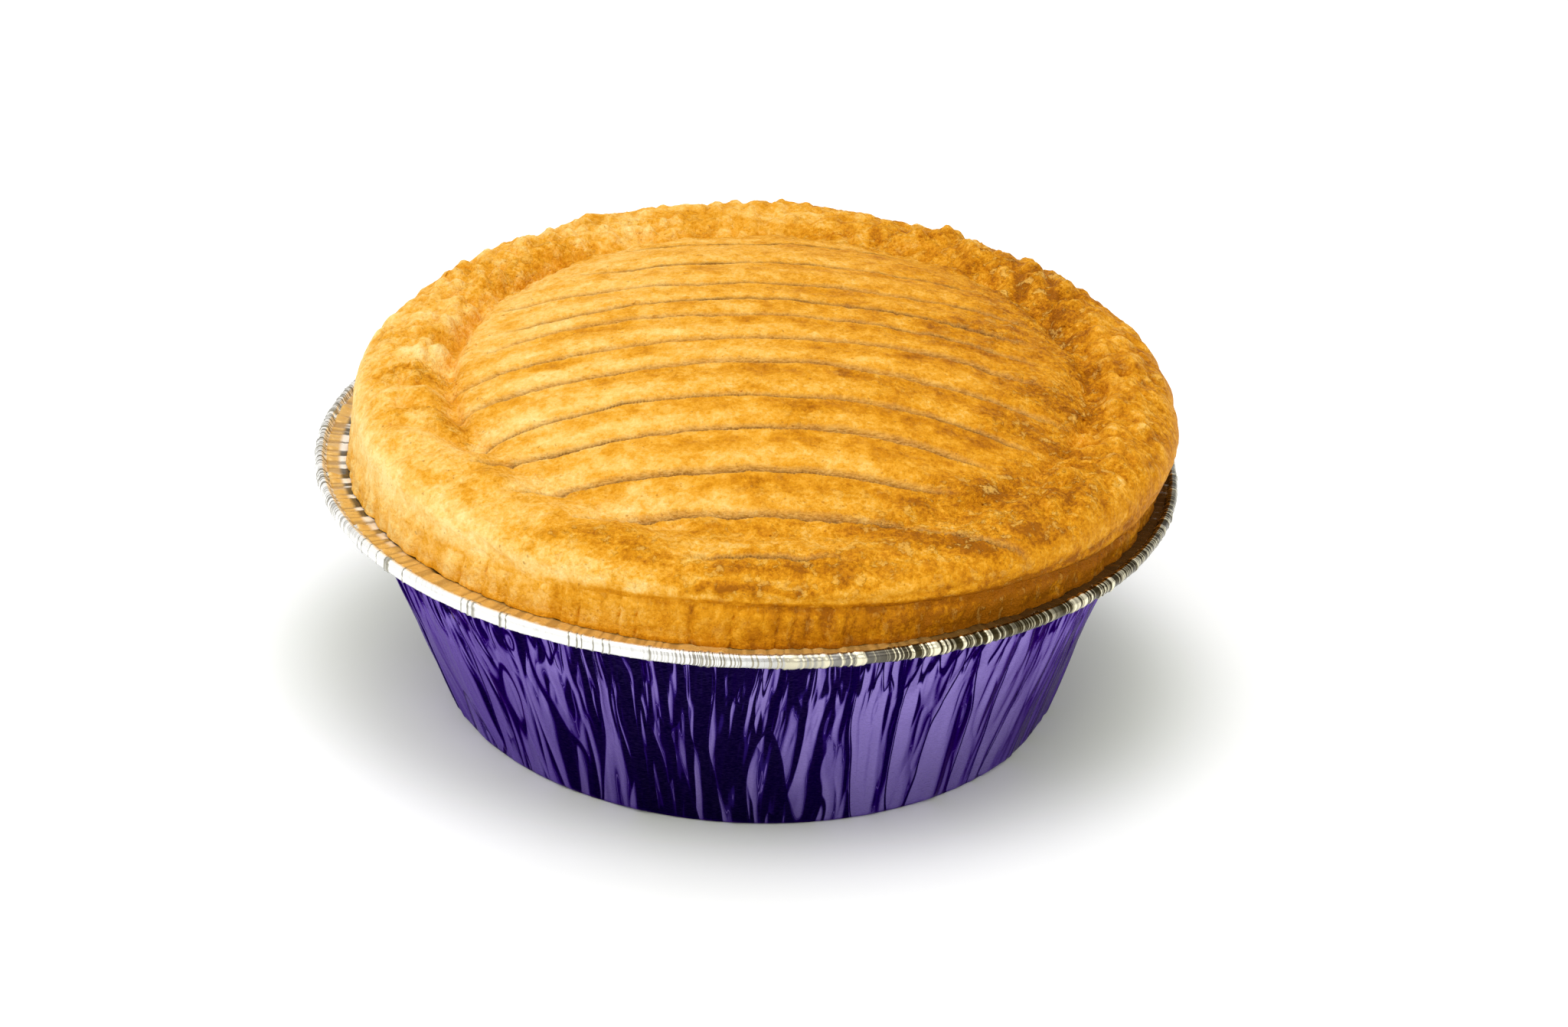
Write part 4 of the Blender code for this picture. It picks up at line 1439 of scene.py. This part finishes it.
def random_vector(sheet, low, high, seed):
    settings = {"data_type": "FLOAT_VECTOR"}
    return sheet.node("FunctionNodeRandomValue", settings, {0: low, 1: high, 8: seed})


def flake_tree():
    """Scatter small dented flakes over the parts of the lid that its masks name."""
    tree, names, sheet, given = named_tree("scatter flakes", FLAKE_INPUTS)
    ask = given.also

    masks = {}
    for mask in ("flaky", "cut_face"):
        settings = {"data_type": "FLOAT"}
        masks[mask] = sheet.node("GeometryNodeInputNamedAttribute", settings, {"Name": mask})
    thick = masks["flaky"] * masks["flaky"] + masks["cut_face"] * 0.5
    clumps = sheet.ease(sheet.noise(sheet.node("GeometryNodeInputPosition"), 5 * MM, 2.0), 0.42, 0.62)
    density = thick * clumps * ask("Flakes per square metre")
    inputs = {"Mesh": given, "Density": density, "Seed": ask("Seed")}
    points = sheet.node("GeometryNodeDistributePointsOnFaces", {}, inputs)
    ball = sheet.node("GeometryNodeMeshIcoSphere", {}, {"Radius": 1.0, "Subdivisions": 1})
    spin = random_vector(sheet, (-0.2, -0.2, 0.0), (0.2, 0.2, TURN), ask("Seed"))
    spin = sheet.node("FunctionNodeEulerToRotation", {}, {0: spin})
    lay = {"Rotation": points.also("Rotation"), "Rotate By": spin}
    turned = sheet.node("FunctionNodeRotateRotation", {"rotation_space": "LOCAL"}, lay)
    size = random_vector(sheet, ask("Smallest"), ask("Largest"), ask("Seed") + 1)
    inputs = {"Points": points, "Instance": ball, "Rotation": turned, "Scale": size}
    flakes = sheet.node("GeometryNodeInstanceOnPoints", {}, inputs)
    real = sheet.node("GeometryNodeRealizeInstances", {}, {"Geometry": flakes})
    place = sheet.node("GeometryNodeInputPosition")
    dent = sheet.noise(place, ask("Dent size"), 0.0).also("Color")
    dent = sheet.vector("SUBTRACT", dent, (0.5, 0.5, 0.5))
    dent = sheet.scaled(dent, ask("Dent depth"))
    dented = sheet.node("GeometryNodeSetPosition", {}, {"Geometry": real, "Offset": dent})
    done = sheet.node("GeometryNodeSetMaterial", {}, {"Geometry": dented, "Material": ask("Finish")})
    sheet.node("NodeGroupOutput", {}, {"Result": done}, None)
    return tree, names


crust_flakes = linked("crust_flakes", crust_lid.data.copy())
scatter, scatter_names = flake_tree()
apply_tree(crust_flakes, scatter, scatter_names, {"Finish": golden_crust})
print("the flakes have", triangles(crust_flakes), "triangles")

# %% [markdown]
# ## Floor, light and camera
#
# The pie stands on a plain white table. One big soft light hangs over it and makes the
# soft shadows, a smaller one brightens its left side, and a third one fills the front
# right. The camera has the long lens and the slight roll that the rim's outline asks for.
# The table has a painted shadow: it is a darker green-grey near the tin. Outside the soft shadow it
# turns white quickly, because it is given a faint glow further out, a painted light.

# %% The table
FLOOR_HALF = 6.0
SHADOW_OVAL = (1.0, 1.35, 1.0)
SHADOW_FADES = (58 * MM, 84 * MM)


def make_floor():
    corners = ((-1, -1), (1, -1), (1, 1), (-1, 1))
    mesh = bpy.data.meshes.new("floor")
    mesh.from_pydata([(x * FLOOR_HALF, y * FLOOR_HALF, 0) for x, y in corners], [], [(0, 1, 2, 3)])
    made = linked("floor", mesh)
    finish, sheet = new_finish("white table")
    place = sheet.node("ShaderNodeTexCoord").also("Object")
    fine = sheet.noise(place, 4 * MM, 2.0)
    # Painted shadow: near the tin the table is a darker green-grey. Painted light: further out it glows
    # faintly, so it stays white.
    away = sheet.length(sheet.vector("MULTIPLY", place, SHADOW_OVAL))
    far = sheet.ease(away, *SHADOW_FADES)
    white = sheet.blend(fine, (0.94, 0.95, 0.94, 1.0), (0.96, 0.97, 0.96, 1.0))
    close_finish(sheet, {
        "Base Color": sheet.blend(far, (0.86, 0.89, 0.81, 1.0), white),
        "Roughness": 0.7,
        "Specular IOR Level": 0.1,
        "Emission Color": sheet.blend(far, (0.0, 0.0, 0.0, 1.0), (0.16, 0.165, 0.16, 1.0)),
        "Emission Strength": 1.0,
    })
    mesh.materials.append(finish)


make_floor()
print("the table is", 2 * FLOOR_HALF, "m wide")

# %% Lights
# Each light: name, place, height that it aims at, width, power and tint.
LIGHTS = [
    ("overhead", (-0.1, -0.2, 1.25), 0.02, 1.1, 6.5, (1.0, 0.99, 0.97)),
    ("front", (0.7, -1.1, 0.7), 0.03, 0.7, 2.0, (1.0, 0.99, 0.97)),
    ("key", (-0.8, -0.35, 0.9), 0.03, 0.6, 1.8, (1.0, 0.98, 0.95)),
]


def make_light(name, place, aim_height, width, power, tint):
    data = bpy.data.lights.new(name, "AREA")
    data.shape = "RECTANGLE"
    data.size = data.size_y = width
    data.energy = power
    data.color = tint
    made = linked(name, data)
    made.location = place
    towards = Vector((0, 0, aim_height)) - Vector(place)
    made.rotation_euler = towards.to_track_quat("-Z", "Y").to_euler()


def make_world():
    """Pale light from all round, a little stronger from the left and from above."""
    world = bpy.data.worlds.new("studio")
    world.use_nodes = True
    sheet = Sheet(world.node_tree)
    x, _, z = sheet.split(sheet.node("ShaderNodeTexCoord"))
    side = sheet.ease(x * 0.8 - z * 0.5, -0.9, 0.7, 0.86, 0.66)
    inputs = {"Color": (1.0, 0.99, 0.97, 1.0), "Strength": side}
    glow = sheet.node("ShaderNodeBackground", {}, inputs)
    sheet.node("ShaderNodeOutputWorld", {}, {"Surface": glow}, None)
    bpy.context.scene.world = world


for light in LIGHTS:
    make_light(*light)
make_world()
print("lights:", [light[0] for light in LIGHTS])

# %% Camera
# Fitted to the outline of the rim. The target and the distance count in rim radii.
CAMERA_ELEVATION = math.radians(27.007)
CAMERA_ROLL = math.radians(-2.597)
CAMERA_TARGET = (0.0909, 0, 0.4041)
CAMERA_DISTANCE = 7.2285
CAMERA_LENS = 70.3125


def make_camera():
    forward = Vector((0, math.cos(CAMERA_ELEVATION), -math.sin(CAMERA_ELEVATION)))
    up = Vector((0, math.sin(CAMERA_ELEVATION), math.cos(CAMERA_ELEVATION)))
    side = Vector((1, 0, 0))
    place = Vector(CAMERA_TARGET) * RIM_RADIUS * MM - forward * CAMERA_DISTANCE * RIM_RADIUS * MM
    right = side * math.cos(CAMERA_ROLL) - up * math.sin(CAMERA_ROLL)
    above = side * math.sin(CAMERA_ROLL) + up * math.cos(CAMERA_ROLL)
    data = bpy.data.cameras.new("camera")
    data.lens = CAMERA_LENS
    data.sensor_width = 36.0
    data.clip_start = 0.01
    made = linked("camera", data)
    columns = (right, above, -forward, place)
    rows = [[column[axis] for column in columns] for axis in range(3)]
    made.matrix_world = Matrix((*rows, (0, 0, 0, 1)))
    bpy.context.scene.camera = made
    return made


camera = make_camera()
bpy.context.scene.view_settings.view_transform = "Standard"
print("camera at", [round(value, 3) for value in camera.matrix_world.translation])

# %% Hand the pieces to the frame
for piece, node, slot in (
    (crust_lid, "pastry_lid", "golden_crust"),
    (crust_flakes, "pastry_lid", "golden_crust"),
    (crust_case, "pastry_case", "pale_crust"),
    (foil_wall, "foil_tin", "purple_foil"),
    (foil_rim, "foil_tin", "bare_foil"),
):
    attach(piece, "root")
    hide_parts(node)
